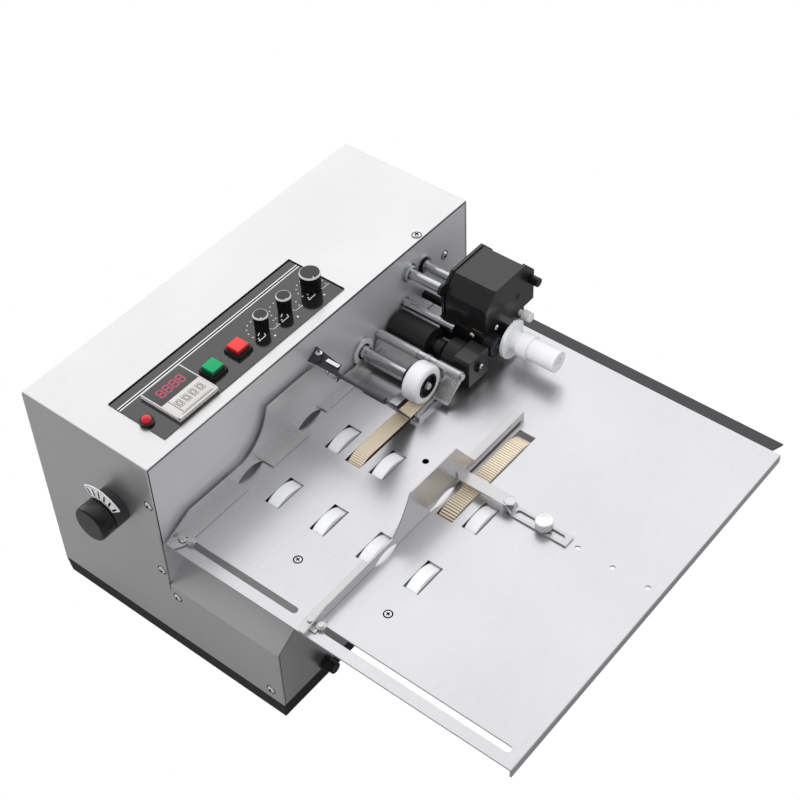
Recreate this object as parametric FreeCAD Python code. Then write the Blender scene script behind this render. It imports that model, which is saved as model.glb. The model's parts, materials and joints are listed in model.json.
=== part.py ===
"""Date coding machine, in millimetres.

Work frame: x runs with the feed from the left end of the casing, y from the front plate towards
the back (the table lies on the minus side), z up from the top of the tray's floor.
At export every piece is shifted so that the origin is under the middle of the machine.
"""
import FreeCAD, Part
import math
import os

V = FreeCAD.Vector

# Casing
casing_length = 420.0
casing_depth = 145.0
casing_height = 228.0
sheet = 1.5
fold_radius = 2.0
plate_thickness = 3.0
seam = 0.8
tray_height = 12.0
tray_floor = 4.0
tray_lean = 5.0
foot_height = 8.0
foot_radius = 11.0
foot_inset = 26.0
housing_reach = 123.5
housing_side_height = 83.0
shoulder_angle = 33.0
exit_shoulder_angle = 51.0
relief_depth = 8.0
relief_width = 1.0
vent_count = 9
vent_pitch = 11.0
vent_length = 46.0
vent_width = 4.0
vent_height = 165.0

# Table
table_top = 136.0
table_left = 3.0
table_right_inset = 25.0
table_reach = 356.6
table_flange = 9.0
lip_run = 23.7
lip_drop = 12.7
lip_lap = 12.0
fence_slot_x = 16.8
fence_slot_width = 6.5
left_slot_start = 15.0
left_slot_end = 135.5
right_slot_start = 157.5
right_slot_end = 346.5
spare_hole_radius = 3.0
thumb_screw_y = 242.2
thread_pitch_y = 34.0
thread_hole_radius = 2.4
table_screw_radius = 4.2
table_screw_xy = ((57.4, 100.8), (59.2, 194.6))

# Feed wheels and belts
wheel_radius = 27.0
wheel_width = 12.0
wheel_edge = 1.5
wheel_proud = 3.5
first_column_x = 105.0
belt_lead = 3.0
first_row_y = 44.0
row_pitch = 50.0
row_count = 4
wheel_slot_width = 15.4
wheel_slot_length = 33.4
feed_shaft_radius = 4.0
belt_width = 15.0
belt_thickness = 2.5
belt_outer_radius = 25.5
belt_to_roller = 5.0
belt_slot_margin = 1.0
fence_over_belt = 0.4
bracket_y = 208.0
bracket_flange = 12.0
bracket_end = 18.0

# Clearances
running_fit = 0.05
curved_gap = 0.3
lift_gap = 0.3

# Feed rollers and platen
roller_to_platen = 45.5
roller_radius = 15.0
roller_shaft_radius = 5.0
nip_height = 140.7
upper_rubber_start = 3.0
upper_rubber_length = 43.0
outer_rubber_start = 65.0
outer_rubber_end = 79.5
collar_radius = 8.0
block_start = 80.0
block_width = 18.0
block_height = 29.0
block_screw_radius = 5.0
block_screw_head = 2.5
platen_inset = 65.0
platen_radius = 14.5
platen_start = 46.0
platen_length = 24.0
gear_start = 8.0
gear_width = 6.0

# Press wheel and cross rods
press_to_guide_rod = 23.9
press_radius = 19.2
press_width = 17.0
press_start = 60.0
press_rim = 12.0
press_shaft_radius = 5.0
press_spindle_radius = 2.5
press_flange_radius = 13.5
guide_rod_to_roller = 23.0
guide_rod_z = 161.0
guide_rod_radius = 3.5
guide_rod_length = 95.0
guide_screw_radius = 3.3
guide_screw_head = 2.0
rod_collar_starts = (48.0, 61.0)
rod_collar_length = 8.0
rod_collar_radius = 4.6
stop_rod_to_platen = 31.5
stop_rod_z = 171.8
stop_rod_radius = 4.0
stop_rod_length = 60.0
rod_washer_radius = 9.5
rod_washer = 2.0
top_plate_run = 18.5
top_plate_foot_z = 141.0
top_plate_sheet = 1.2
bridge_to_roller = 17.5
bridge_length = 52.0
bridge_inner_y = 50.0
bridge_outer_y = 84.0
bridge_height = 4.0

# Stack guides
guide_sheet = 1.2
left_guide_y = 4.0
left_flange_reach = 17.0
left_exit_reach = 11.0
left_guide_low = 17.0
left_guide_high = 57.0
right_guide_y = 155.0
right_flange_width = 10.0
right_guide_low = 11.0
right_guide_high = 47.0
right_guide_short = 12.5
notch_height = 6.0
notch_half = 15.5
arm_offset = 22.8
arm_width = 12.0
arm_sheet = 1.5
arm_raise = 8.2
arm_step_y = 208.0
arm_step_run = 5.0
arm_end_y = 268.0
arm_slot_start = 214.0
arm_slot_end = 263.0
arm_slot_width = 6.5
thumb_head_radius = 7.75
thumb_head_height = 7.7
thumb_shank_radius = 2.9
pin_radius = 2.8
nut_radius = 4.2

# Separator
blade_run = 39.0
separator_z = 198.0
separator_shaft_radius = 1.75
separator_length = 86.0
leaf_angle = 34.5
leaf_width = 14.8
leaf_length = 32.0
blade_start = 62.0
blade_width = 22.0
blade_sheet = 0.8
blade_to_press = 27.6

# Print head
head_start = 38.5
head_width = 50.0
head_to_platen = 23.5
head_length = 73.5
head_top = 215.0
head_bottom = 165.0
head_chamfer = 15.0
head_exit_chamfer = 13.5
head_low = 146.0
cheek_lip = 3.5
cheek = 3.0
hood_inset = 1.5
hood_sheet = 1.2
hood_split = 172.0
hinge_inset = 5.0
hinge_z = 192.0
hinge_pin_radius = 2.0
post_one_offset = 0.5
post_one_z = 202.0
post_one_radius = 4.75
post_two_offset = 22.5
post_two_z = 196.0
post_two_radius = 4.25
print_shaft_radius = 4.0
type_radius = 18.0
type_holder_radius = 13.0
type_width = 16.0
type_start = 50.0
ink_to_platen = 25.0
ink_z = 185.0
ink_core_radius = 3.0
idler_offset = 3.0
idler_z = 163.0
idler_teeth = 22
print_teeth = 20
print_gear_width = 10.0
sleeve_disc_radius = 19.0
sleeve_start = 100.0
sleeve_end = 152.0
sleeve_radius = 10.5
ink_knob_inset = 21.0
ink_knob_z = 162.5
ink_knob_radius = 5.0

# Control panel
panel_left = 33.8
panel_front = 11.6
panel_length = 225.0
panel_width = 65.0
panel_sheet = 1.0
counter_x = 77.3
counter_y = 36.4
counter_side = 46.0
counter_body = 43.0
counter_proud = 4.5
counter_depth = 55.0
button_side = 18.0
button_row_y = 33.2
start_x = 114.3
stop_x = 145.2
button_travel = 2.5
reset_x = 38.5
reset_y = 36.0
reset_radius = 4.5
reset_travel = 1.5
knob_row_y = 35.5
speed_x = 177.4
position_x = 206.8
heater_x = 241.8
small_knob_radius = 7.0
small_knob_height = 16.5
large_knob_radius = 9.8
large_knob_height = 18.0
knob_cap_height = 3.0
knob_waist = 0.5
knob_shaft_radius = 3.0

# Side knob, fuse, inlet, drive
side_knob_y = 50.6
side_knob_z = 153.2
side_knob_reach = 30.5
side_knob_radius = 17.0
side_collar_reach = 14.0
side_groove = 1.5
side_edge = 2.0
scale_outer = 30.0
scale_sheet = 1.0
scale_from = 54.0
scale_to = 141.0
fuse_x = 53.0
fuse_z = 17.5
fuse_radius = 7.0
fuse_reach = 12.5
screw_radius = 4.0
screw_head = 2.0
end_screw_high = 181.7
end_screw_middle = 98.4
shoulder_screw_z = 70.9
screw_in = 5.8
shoulder_screw_out = 7.8
housing_screw_in = 14.0
housing_screw_z = 24.0
plate_screw_inset = 34.0
plate_screw_z = 184.6
top_screw_inset = 66.6
back_screw_in = 12.0
back_screw_low = 24.0
back_screw_drop = 14.0
inlet_x = 90.0
inlet_z = 48.0
inlet_flange = 3.0
drive_radius = 14.0
drive_belt_thickness = 1.5
motor_z = 58.0
motor_radius = 32.0
motor_length = 70.0
board_inset = 40.0
board_length = 130.0
board_start = 30.0
board_width = 95.0
board_raise = 10.0
board_thickness = 2.0
board_edge = 6.0
stand_off_radius = 3.0
transformer_inset = 12.0
transformer_length = 50.0
transformer_width = 52.0
transformer_height = 42.0
relay_count = 3
relay_pitch = 16.0
relay_side = 10.0
relay_length = 20.0
relay_inset = 21.0
capacitor_in = 30.0

# Places along the feed, from the delivery end back to the stack
table_right = casing_length - table_right_inset
platen_x = casing_length - platen_inset
roller_x = platen_x - roller_to_platen
guide_rod_x = roller_x - guide_rod_to_roller
press_x = guide_rod_x - press_to_guide_rod
stop_rod_x = platen_x - stop_rod_to_platen
top_plate_foot_x = guide_rod_x - top_plate_run
bridge_end_x = roller_x - bridge_to_roller
bridge_start_x = bridge_end_x - bridge_length
front_belt_x = roller_x - roller_radius - belt_to_roller - belt_outer_radius
column_pitch = (front_belt_x - first_column_x - belt_lead) / 2
second_column_x = first_column_x + column_pitch
left_guide_end = front_belt_x
right_guide_end = roller_x - right_guide_short
arm_x = second_column_x + arm_offset
blade_tip_x = press_x - blade_to_press
separator_x = blade_tip_x - blade_run
head_left = platen_x - head_to_platen
head_right = head_left + head_length
hinge_x = head_right - hinge_inset
post_one = (head_left + post_one_offset, post_one_z)
post_two = (head_left + post_two_offset, post_two_z)
ink_x = platen_x + ink_to_platen
idler_x = head_left + idler_offset
ink_knob_x = head_right - ink_knob_inset

# Derived places
table_under = table_top - sheet
feed_axis_z = table_top + wheel_proud - wheel_radius
belt_rows = tuple(first_row_y + row_pitch * (2 * i + 0.5) for i in range(2))
pulley_radius = belt_outer_radius - belt_thickness - curved_gap
belt_top = feed_axis_z + belt_outer_radius
lower_roller_z = nip_height - roller_radius
upper_roller_z = nip_height + lift_gap + roller_radius
platen_z = nip_height - 0.7 - platen_radius
print_z = nip_height - 0.4 + type_radius
press_z = belt_top + curved_gap + press_radius
ink_radius = math.hypot(ink_x - platen_x, ink_z - print_z) - type_radius - curved_gap
head_end = head_start + head_width
panel_top = casing_height + panel_sheet
fence_floor = table_top + lift_gap
belt_clear = belt_top + fence_over_belt - fence_floor + guide_sheet
origin_shift = V(
    -(casing_length + screw_head - side_knob_reach) / 2,
    -(casing_depth + inlet_flange - table_reach) / 2,
    foot_height + tray_floor)

pieces = {}


def block(x, y, z):
    """Box between three pairs of limits."""
    low = V(min(x), min(y), min(z))
    return Part.makeBox(max(x) - low.x, max(y) - low.y, max(z) - low.z, low)


def rod_y(x, z, radius, start, end):
    """Cylinder along y between two distances in front of the front plate."""
    return Part.makeCylinder(radius, end - start, V(x, -end, z), V(0, 1, 0))


def rod_z(x, y, radius, low, high):
    """Upright cylinder; y is the distance behind the front plate."""
    return Part.makeCylinder(radius, high - low, V(x, y, low))


def rod_x(y, z, radius, start, end):
    """Cylinder along x."""
    return Part.makeCylinder(radius, end - start, V(start, y, z), V(1, 0, 0))


def slab_y(points, start, end):
    """Outline in x and z, from one distance in front of the front plate to another."""
    corners = [V(x, -start, z) for x, z in points]
    face = Part.Face(Part.makePolygon(corners + corners[:1]))
    return face.extrude(V(0, start - end, 0))


def slab_z(points, low, high):
    """Outline in x and y, between two heights; y is counted towards the table's edge."""
    corners = [V(x, -y, low) for x, y in points]
    face = Part.Face(Part.makePolygon(corners + corners[:1]))
    return face.extrude(V(0, 0, high - low))


def slab_x(points, start, end):
    """Outline in y and z, between two places along x."""
    corners = [V(start, y, z) for y, z in points]
    face = Part.Face(Part.makePolygon(corners + corners[:1]))
    return face.extrude(V(end - start, 0, 0))


def slot_y(x, start, end, width, low, high):
    """Round-ended slot along y, as a solid to cut with."""
    radius = width / 2
    middle = block((x - radius, x + radius), (-start - radius, -end + radius), (low, high))
    first = rod_z(x, -start - radius, radius, low, high)
    last = rod_z(x, -end + radius, radius, low, high)
    return middle.fuse([first, last])


def merged(shapes):
    """One clean solid out of several that touch."""
    return shapes[0].fuse(shapes[1:]).removeSplitter()


def round_edges(solid, radius, test):
    """Fillet the edges that pass a test on their bounding box."""
    edges = [edge for edge in solid.Edges if test(edge.BoundBox)]
    return solid.makeFillet(radius, edges)


def add(name, *solids):
    """Keep solids under a node's name."""
    pieces.setdefault(name, []).extend(solids)


def other_end(shape):
    """The same shape at the right end of the casing."""
    return shape.mirror(V(casing_length / 2, 0, 0), V(1, 0, 0))


def tray():
    outline = [(-housing_reach, -tray_floor), (casing_depth - tray_lean, -tray_floor),
               (casing_depth, tray_height), (-housing_reach, tray_height)]
    body = slab_x(outline, 0, casing_length)
    body = round_edges(body, 1.0, lambda box: box.ZMax < 0)
    hollow = block((sheet, casing_length - sheet),
                   (-housing_reach + sheet, casing_depth - tray_lean - sheet),
                   (0, tray_height + 1))
    add("base_tray", body.cut(hollow))
    for x in (foot_inset, casing_length - foot_inset):
        for y in (-housing_reach + foot_inset, casing_depth - foot_inset):
            foot = Part.makeCone(foot_radius - 2, foot_radius, foot_height,
                                 V(x, y, -tray_floor - foot_height))
            add("rubber_feet", foot)


def shoulder_line(angle, gap):
    """Corner and upper end of a line that lies a gap inside the housing's wall and shoulder."""
    turn = math.radians(angle)
    corner = housing_side_height - gap / math.cos(turn) + gap * math.tan(turn)
    run = (table_under - corner) / math.tan(turn) + gap
    return [(gap, corner), (run, table_under)]


def wing(angle):
    """Left wall of the low housing with its folded shoulder under the table."""
    outline = [(0, tray_height)] + shoulder_line(angle, 0)
    outline += reversed([(sheet, tray_height)] + shoulder_line(angle, sheet))
    solid = slab_y(outline, 0, housing_reach)
    slit = block((-1, sheet + 1), (-relief_width, 0),
                 (housing_side_height - relief_depth, housing_side_height + sheet))
    return solid.cut(slit)


def panel_openings(low, high, extra):
    """Cut-outs for the parts of the control panel."""
    half = counter_body / 2 + extra
    cuts = [block((counter_x - half, counter_x + half), (counter_y - half, counter_y + half),
                  (low, high))]
    for x in (start_x, stop_x):
        cuts.append(rod_z(x, button_row_y, button_side / 2 - 1 + extra, low, high))
    for x in (speed_x, position_x, heater_x):
        cuts.append(rod_z(x, knob_row_y, knob_shaft_radius + running_fit + extra, low, high))
    cuts.append(rod_z(reset_x, reset_y, reset_radius + 1 + extra, low, high))
    return cuts


def casing():
    folded = lambda box: box.ZMin > casing_height - 2 * sheet and box.YLength > casing_depth / 2
    outer = block((0, casing_length), (0, casing_depth), (tray_height, casing_height))
    outer = round_edges(outer, fold_radius, folded)
    inner = block((sheet, casing_length - sheet), (-1, casing_depth + 1),
                  (tray_height - 1, casing_height - sheet))
    inner = round_edges(inner, fold_radius - sheet, folded)
    shell = outer.cut(inner)
    shell = shell.cut(panel_openings(casing_height - 2 * sheet, casing_height + 1, 0.5))
    shell = merged([shell, wing(shoulder_angle), other_end(wing(exit_shoulder_angle))])
    shaft_hole = rod_x(side_knob_y, side_knob_z, knob_shaft_radius + running_fit, -1, sheet + 1)
    add("casing_shell", shell.cut(shaft_hole))


def front_plate():
    wall = block((sheet + seam, casing_length - sheet - seam), (0, plate_thickness),
                 (tray_height, casing_height - sheet - seam))
    bores = [
        (first_column_x, feed_axis_z, feed_shaft_radius),
        (second_column_x, feed_axis_z, feed_shaft_radius),
        (front_belt_x, feed_axis_z, feed_shaft_radius),
        (roller_x, lower_roller_z, roller_shaft_radius),
        (roller_x, upper_roller_z, roller_shaft_radius),
        (platen_x, platen_z, roller_shaft_radius),
        (platen_x, print_z, print_shaft_radius),
        (separator_x, separator_z, separator_shaft_radius)]
    for x, z, radius in bores:
        wall = wall.cut(rod_y(x, z, radius + running_fit, -plate_thickness - 1, 1))
    add("front_plate", wall)


def rear_plate():
    low = casing_depth - sheet
    wall = block((sheet + seam, casing_length - sheet - seam), (low, casing_depth),
                 (tray_height, casing_height - sheet - seam))
    for i in range(vent_count):
        z = vent_height - i * vent_pitch
        for x in (0.3 * casing_length, 0.7 * casing_length):
            vent = block((x - vent_length / 2, x + vent_length / 2), (low - 1, casing_depth + 1),
                         (z - vent_width / 2, z + vent_width / 2))
            wall = wall.cut(vent)
    hole = block((inlet_x - 24, inlet_x + 24), (low - 1, casing_depth + 1),
                 (inlet_z - 24, inlet_z + 24))
    add("rear_plate", wall.cut(hole))


def housing_front():
    gap = sheet + seam
    outline = [(gap, tray_height)] + shoulder_line(shoulder_angle, gap)
    exit_side = [(gap, tray_height)] + shoulder_line(exit_shoulder_angle, gap)
    outline += [(casing_length - x, z) for x, z in reversed(exit_side)]
    wall = slab_y(outline, housing_reach - sheet, housing_reach)
    for x in (first_column_x, second_column_x, front_belt_x):
        wall = wall.cut(rod_y(x, feed_axis_z, feed_shaft_radius + 2, housing_reach - 5,
                              housing_reach + 5))
    add("housing_front", wall)


def pan_head(place, direction):
    """Pan-head screw standing on a face, with its driving slot."""
    head = Part.makeCylinder(screw_radius, screw_head, V(0, 0, 0))
    head = round_edges(head, screw_head * 0.45, lambda box: box.ZMin > screw_head / 2)
    groove = block((-screw_radius, screw_radius), (-0.4, 0.4), (screw_head * 0.55, screw_head + 1))
    head = head.cut(groove)
    head.Placement = FreeCAD.Placement(place, FreeCAD.Rotation(V(0, 0, 1), direction))
    return head


def casing_screws():
    end_places = [(screw_in, end_screw_high), (screw_in, end_screw_middle),
                  (-shoulder_screw_out, shoulder_screw_z),
                  (-housing_reach + housing_screw_in, housing_screw_z)]
    for y, z in end_places:
        add("casing_screws", pan_head(V(0, y, z), V(-1, 0, 0)))
        add("casing_screws", pan_head(V(casing_length, y, z), V(1, 0, 0)))
    add("casing_screws", pan_head(V(casing_length - plate_screw_inset, 0, plate_screw_z), V(0, -1, 0)))
    add("casing_screws", pan_head(V(casing_length - top_screw_inset, screw_in, casing_height),
                                  V(0, 0, 1)))
    for x in (back_screw_in, casing_length - back_screw_in):
        for z in (back_screw_low, casing_height - back_screw_drop):
            add("casing_screws", pan_head(V(x, casing_depth, z), V(0, 1, 0)))


def feed_columns():
    return (first_column_x, second_column_x)


def wheel_rows():
    return tuple(first_row_y + row_pitch * i for i in range(row_count))


def feed_table():
    low, high = table_under - 1, table_top + 1
    plate = block((table_left, table_right), (-table_reach, -seam), (table_under, table_top))
    flange = block((table_left, table_right), (-table_reach, -table_reach + sheet),
                   (table_top - table_flange, table_top))
    plate = merged([plate, flange])
    plate = round_edges(plate, 1.2, lambda box: box.XLength > 300 and box.YMax < -table_reach + 0.1
                        and box.ZMin > table_top - 0.1)
    cuts = []
    for x in feed_columns():
        for y in wheel_rows():
            cuts.append(block((x - wheel_slot_length / 2, x + wheel_slot_length / 2),
                              (-y - wheel_slot_width / 2, -y + wheel_slot_width / 2), (low, high)))
    half = belt_width / 2 + belt_slot_margin
    for y in belt_rows:
        cuts.append(block((second_column_x - 18, front_belt_x + 21), (-y - half, -y + half),
                          (low, high)))
    cuts.append(slot_y(fence_slot_x, left_slot_start, left_slot_end, fence_slot_width, low, high))
    cuts.append(slot_y(fence_slot_x, right_slot_start, right_slot_end, fence_slot_width, low, high))
    cuts.append(rod_z(arm_x, -(first_row_y + 1.5 * row_pitch - 1.4), spare_hole_radius, low, high))
    cuts.append(rod_z(arm_x, -thumb_screw_y, thumb_shank_radius + 2 * running_fit, low, high))
    for i in range(1, 4):
        cuts.append(rod_z(arm_x, -thumb_screw_y - thread_pitch_y * i, thread_hole_radius, low, high))
    for x, y in table_screw_xy:
        cuts.append(rod_z(x, -y, table_screw_radius, low, high))
    reach = math.sqrt(roller_radius ** 2 - (table_under - lower_roller_z) ** 2) + 0.6
    cuts.append(block((roller_x - reach, roller_x + reach), (-outer_rubber_end - 2, -1.5),
                      (low, high)))
    reach = math.sqrt(platen_radius ** 2 - (table_under - platen_z) ** 2) + 0.6
    cuts.append(block((platen_x - reach, platen_x + reach),
                      (-platen_start - platen_length - 2, -platen_start + 2), (low, high)))
    add("feed_table", plate.cut(cuts))
    for x, y in table_screw_xy:
        head = rod_z(x, -y, table_screw_radius, table_under, table_top)
        cross = [block((x - 2, x + 2), (-y - 0.5, -y + 0.5), (table_top - 0.8, high)),
                 block((x - 0.5, x + 0.5), (-y - 2, -y + 2), (table_top - 0.8, high))]
        add("table_screws", head.cut(cross))


def discharge_lip():
    turn = math.atan2(lip_drop, lip_run)
    off_x, off_z = sheet * math.sin(turn), sheet * math.cos(turn)
    outline = [
        (table_right, table_top),
        (table_right + lip_run, table_top - lip_drop),
        (table_right + lip_run - off_x, table_top - lip_drop - off_z),
        (table_right, table_under - 0.2),
        (table_right, table_under - sheet),
        (table_right - lip_lap, table_under - sheet),
        (table_right - lip_lap, table_under),
        (table_right, table_under)]
    add("discharge_lip", slab_y(outline, seam, table_reach - table_flange))


def shaft_bracket():
    left, right = first_column_x - bracket_end, front_belt_x + bracket_end
    wall = block((left, right), (-bracket_y - plate_thickness, -bracket_y),
                 (feed_axis_z - 12, table_under))
    flange = block((left, right), (-bracket_y - bracket_flange, -bracket_y),
                   (table_under - plate_thickness, table_under))
    solid = merged([wall, flange])
    for x in (first_column_x, second_column_x, front_belt_x):
        solid = solid.cut(rod_y(x, feed_axis_z, feed_shaft_radius + running_fit, bracket_y - 1,
                                bracket_y + bracket_flange + 1))
    add("outer_shaft_bracket", solid)


def shaft_collars(x, z, radius):
    """Retaining rings just behind the front plate."""
    return rod_y(x, z, radius + 2.5, -plate_thickness - 4, -plate_thickness - 0.3)


def feed_shafts():
    end = bracket_y + plate_thickness + 3
    for index, x in enumerate(feed_columns()):
        shaft = rod_y(x, feed_axis_z, feed_shaft_radius, -gear_start - 14, end)
        parts = [shaft, shaft_collars(x, feed_axis_z, feed_shaft_radius)]
        if index == 1:
            parts.append(rod_y(x, feed_axis_z, drive_radius, -gear_start - 12, -gear_start))
            for y in belt_rows:
                parts.append(rod_y(x, feed_axis_z, pulley_radius, y - belt_width / 2 + 0.5,
                                   y + belt_width / 2 - 0.5))
        add("wheel_shaft_%d" % (index + 1), merged(parts))
        for y in wheel_rows():
            wheel = rod_y(x, feed_axis_z, wheel_radius, y - wheel_width / 2, y + wheel_width / 2)
            wheel = round_edges(wheel, wheel_edge, lambda box: box.YLength < 0.01)
            bore = rod_y(x, feed_axis_z, feed_shaft_radius, y - wheel_width, y + wheel_width)
            add("feed_wheels_%d" % (index + 1), wheel.cut(bore))
    shaft = rod_y(front_belt_x, feed_axis_z, feed_shaft_radius, -gear_start, end)
    parts = [shaft, shaft_collars(front_belt_x, feed_axis_z, feed_shaft_radius)]
    for y in belt_rows:
        parts.append(rod_y(front_belt_x, feed_axis_z, pulley_radius, y - belt_width / 2 + 0.5,
                           y + belt_width / 2 - 0.5))
    add("belt_shaft_front", merged(parts))


def loop(first, second, radius, start, end):
    """Solid belt outline round two equal pulleys."""
    span = V(second[0] - first[0], 0, second[1] - first[1])
    across = V(-span.z, 0, span.x).normalize() * radius
    base = V(first[0], -start, first[1])
    corners = [base + across, base + span + across, base + span - across, base - across]
    middle = Part.Face(Part.makePolygon(corners + corners[:1])).extrude(V(0, start - end, 0))
    ends = [rod_y(x, z, radius, start, end) for x, z in (first, second)]
    return merged([middle] + ends)


def feed_belts():
    first, second = (second_column_x, feed_axis_z), (front_belt_x, feed_axis_z)
    for y in belt_rows:
        start, end = y - belt_width / 2, y + belt_width / 2
        outer = loop(first, second, belt_outer_radius, start, end)
        inner = loop(first, second, belt_outer_radius - belt_thickness, start - 1, end + 1)
        add("feed_belts", outer.cut(inner))


def spur_gear(x, z, radius, teeth, start, end):
    """Disc with square-cut teeth; the outer radius stays under the pitch line."""
    gear = rod_y(x, z, radius, start, end)
    depth = math.pi * radius / teeth * 0.9
    width = math.pi * radius / teeth
    for i in range(teeth):
        cutter = block((radius - depth, radius + 1), (-end - 1, -start + 1), (-width / 2, width / 2))
        cutter.rotate(V(0, 0, 0), V(0, 1, 0), 360.0 * i / teeth)
        cutter.translate(V(x, 0, z))
        gear = gear.cut(cutter)
    return gear


def feed_rollers():
    gear_radius = (upper_roller_z - lower_roller_z - curved_gap) / 2
    lower = merged([
        rod_y(roller_x, lower_roller_z, roller_shaft_radius, -gear_start - gear_width - 2, 84),
        rod_y(roller_x, lower_roller_z, roller_radius, upper_rubber_start, outer_rubber_end),
        spur_gear(roller_x, lower_roller_z, gear_radius, 24, -gear_start - gear_width, -gear_start)])
    add("lower_feed_roller", lower)
    inner_end = upper_rubber_start + upper_rubber_length
    middle = (inner_end + outer_rubber_start) / 2
    upper = merged([
        rod_y(roller_x, upper_roller_z, roller_shaft_radius, -gear_start - gear_width - 2,
              block_start + block_width - 2),
        rod_y(roller_x, upper_roller_z, roller_radius, upper_rubber_start, inner_end),
        rod_y(roller_x, upper_roller_z, roller_radius, outer_rubber_start, outer_rubber_end),
        rod_y(roller_x, upper_roller_z, collar_radius, middle - 4, middle + 4),
        spur_gear(roller_x, upper_roller_z, gear_radius, 24, -gear_start - gear_width, -gear_start)])
    add("upper_feed_roller", upper)
    end = block_start + block_width
    block_right = roller_x + 13.5
    holder = block((roller_x - 15.5, block_right), (-end, -block_start),
                   (nip_height + 1.3, nip_height + 1.3 + block_height))
    holder = round_edges(holder, 3.0, lambda box: box.YLength > block_width - 1 and
                         box.ZMin > nip_height + block_height)
    arm = block((block_right, head_left - cheek_lip), (-head_end, -block_start),
                (head_low + 4, head_low + 18))
    screw = rod_y(roller_x, upper_roller_z, block_screw_radius, end, end + block_screw_head)
    holder = merged([holder, arm, screw])
    bore = rod_y(roller_x, upper_roller_z, roller_shaft_radius + running_fit, block_start - 1,
                 end - 2 + running_fit)
    add("roller_bearing_block", holder.cut(bore))
    platen = merged([
        rod_y(platen_x, platen_z, roller_shaft_radius, -gear_start - 6, platen_start + platen_length
              + 4),
        shaft_collars(platen_x, platen_z, roller_shaft_radius),
        rod_y(platen_x, platen_z, platen_radius, platen_start, platen_start + platen_length)])
    add("platen_roller", platen)


def bridge_plate():
    top = table_top + bridge_height
    plate = block((bridge_start_x, bridge_end_x), (-bridge_outer_y, -bridge_inner_y),
                  (top - sheet, top))
    sides = [block((bridge_start_x, bridge_end_x), (-y - sheet, -y), (table_top, top))
             for y in (bridge_inner_y, bridge_outer_y - sheet)]
    window = block((bridge_start_x - 1, front_belt_x + 23),
                   (-press_start - press_width - 1.2, -press_start + 1.2), (table_top - 1, top + 1))
    add("bridge_plate", merged([plate] + sides).cut(window))


def press_wheel():
    end = press_start + press_width
    recess = 4.0
    shaft = merged([
        rod_y(press_x, press_z, press_shaft_radius, 0, press_start - 5),
        rod_y(press_x, press_z, press_flange_radius, 0, 3),
        rod_y(press_x, press_z, press_shaft_radius + 1.3, 3, 8),
        rod_y(press_x, press_z, press_spindle_radius, press_start - 5, end - recess + 0.3),
        rod_y(press_x, press_z, press_spindle_radius + 1.2, end - recess + 0.3, end - 1)])
    add("press_shaft", shaft)
    hub = merged([
        rod_y(press_x, press_z, press_rim - 2, press_start - 5 + curved_gap, press_start),
        rod_y(press_x, press_z, press_rim, press_start, end)])
    cuts = [rod_y(press_x, press_z, press_rim - 2.5, end - recess, end + 1),
            rod_y(press_x, press_z, press_spindle_radius + running_fit, 0, end + 1)]
    add("press_wheel_hub", hub.cut(cuts))
    tyre = rod_y(press_x, press_z, press_radius, press_start, end)
    tyre = round_edges(tyre, 3.5, lambda box: box.YLength < 0.01)
    add("press_wheel_tyre", tyre.cut(rod_y(press_x, press_z, press_rim, 0, end + 1)))


def rod_collars(radius, margin):
    """Collars on the guide rod, with a margin at both ends."""
    return [rod_y(guide_rod_x, guide_rod_z, radius, start - margin,
                  start + rod_collar_length + margin) for start in rod_collar_starts]


def support_rods():
    guide = [
        rod_y(guide_rod_x, guide_rod_z, guide_rod_radius, 0, guide_rod_length),
        rod_y(guide_rod_x, guide_rod_z, guide_screw_radius, guide_rod_length,
              guide_rod_length + guide_screw_head)]
    guide += rod_collars(rod_collar_radius, 0)
    add("support_rods", merged(guide))
    stop = merged([
        rod_y(stop_rod_x, stop_rod_z, stop_rod_radius, 0, stop_rod_length),
        rod_y(stop_rod_x, stop_rod_z, stop_rod_radius + 2.5, 0, rod_washer)])
    add("support_rods", stop)
    for place, radius in ((post_one, post_one_radius), (post_two, post_two_radius)):
        post = merged([
            rod_y(place[0], place[1], radius, 0, head_start),
            rod_y(place[0], place[1], rod_washer_radius, 0, rod_washer),
            rod_y(place[0], place[1], radius + 2, rod_washer, rod_washer + 3)])
        add("support_rods", post)


def top_guide_plate():
    start, end = 2.0, guide_rod_length
    clip_radius = guide_rod_radius + top_plate_sheet
    low_z = guide_rod_z - clip_radius
    outline = [
        (guide_rod_x, low_z),
        (top_plate_foot_x, top_plate_foot_z),
        (top_plate_foot_x - 3, top_plate_foot_z + 0.6),
        (top_plate_foot_x - 3, top_plate_foot_z + 0.6 + top_plate_sheet),
        (top_plate_foot_x, top_plate_foot_z + top_plate_sheet),
        (guide_rod_x - 1, low_z + 2 * top_plate_sheet)]
    plate = slab_y(outline, start, end)
    clip = rod_y(guide_rod_x, guide_rod_z, clip_radius, start, end)
    half = rod_y(guide_rod_x, guide_rod_z, guide_rod_radius, start - 1, end + 1)
    gusset = slab_y([(guide_rod_x + 3, guide_rod_z + 3), (guide_rod_x + 3, low_z),
                     (top_plate_foot_x, top_plate_foot_z + top_plate_sheet)], end - 1.2, end)
    solid = merged([plate, clip, gusset])
    window = rod_y(press_x, press_z, press_radius + 1.5, press_start - 3,
                   press_start + press_width + 2)
    collars = rod_collars(rod_collar_radius + curved_gap, curved_gap)
    add("top_guide_plate", solid.cut([half, window] + collars))


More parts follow.
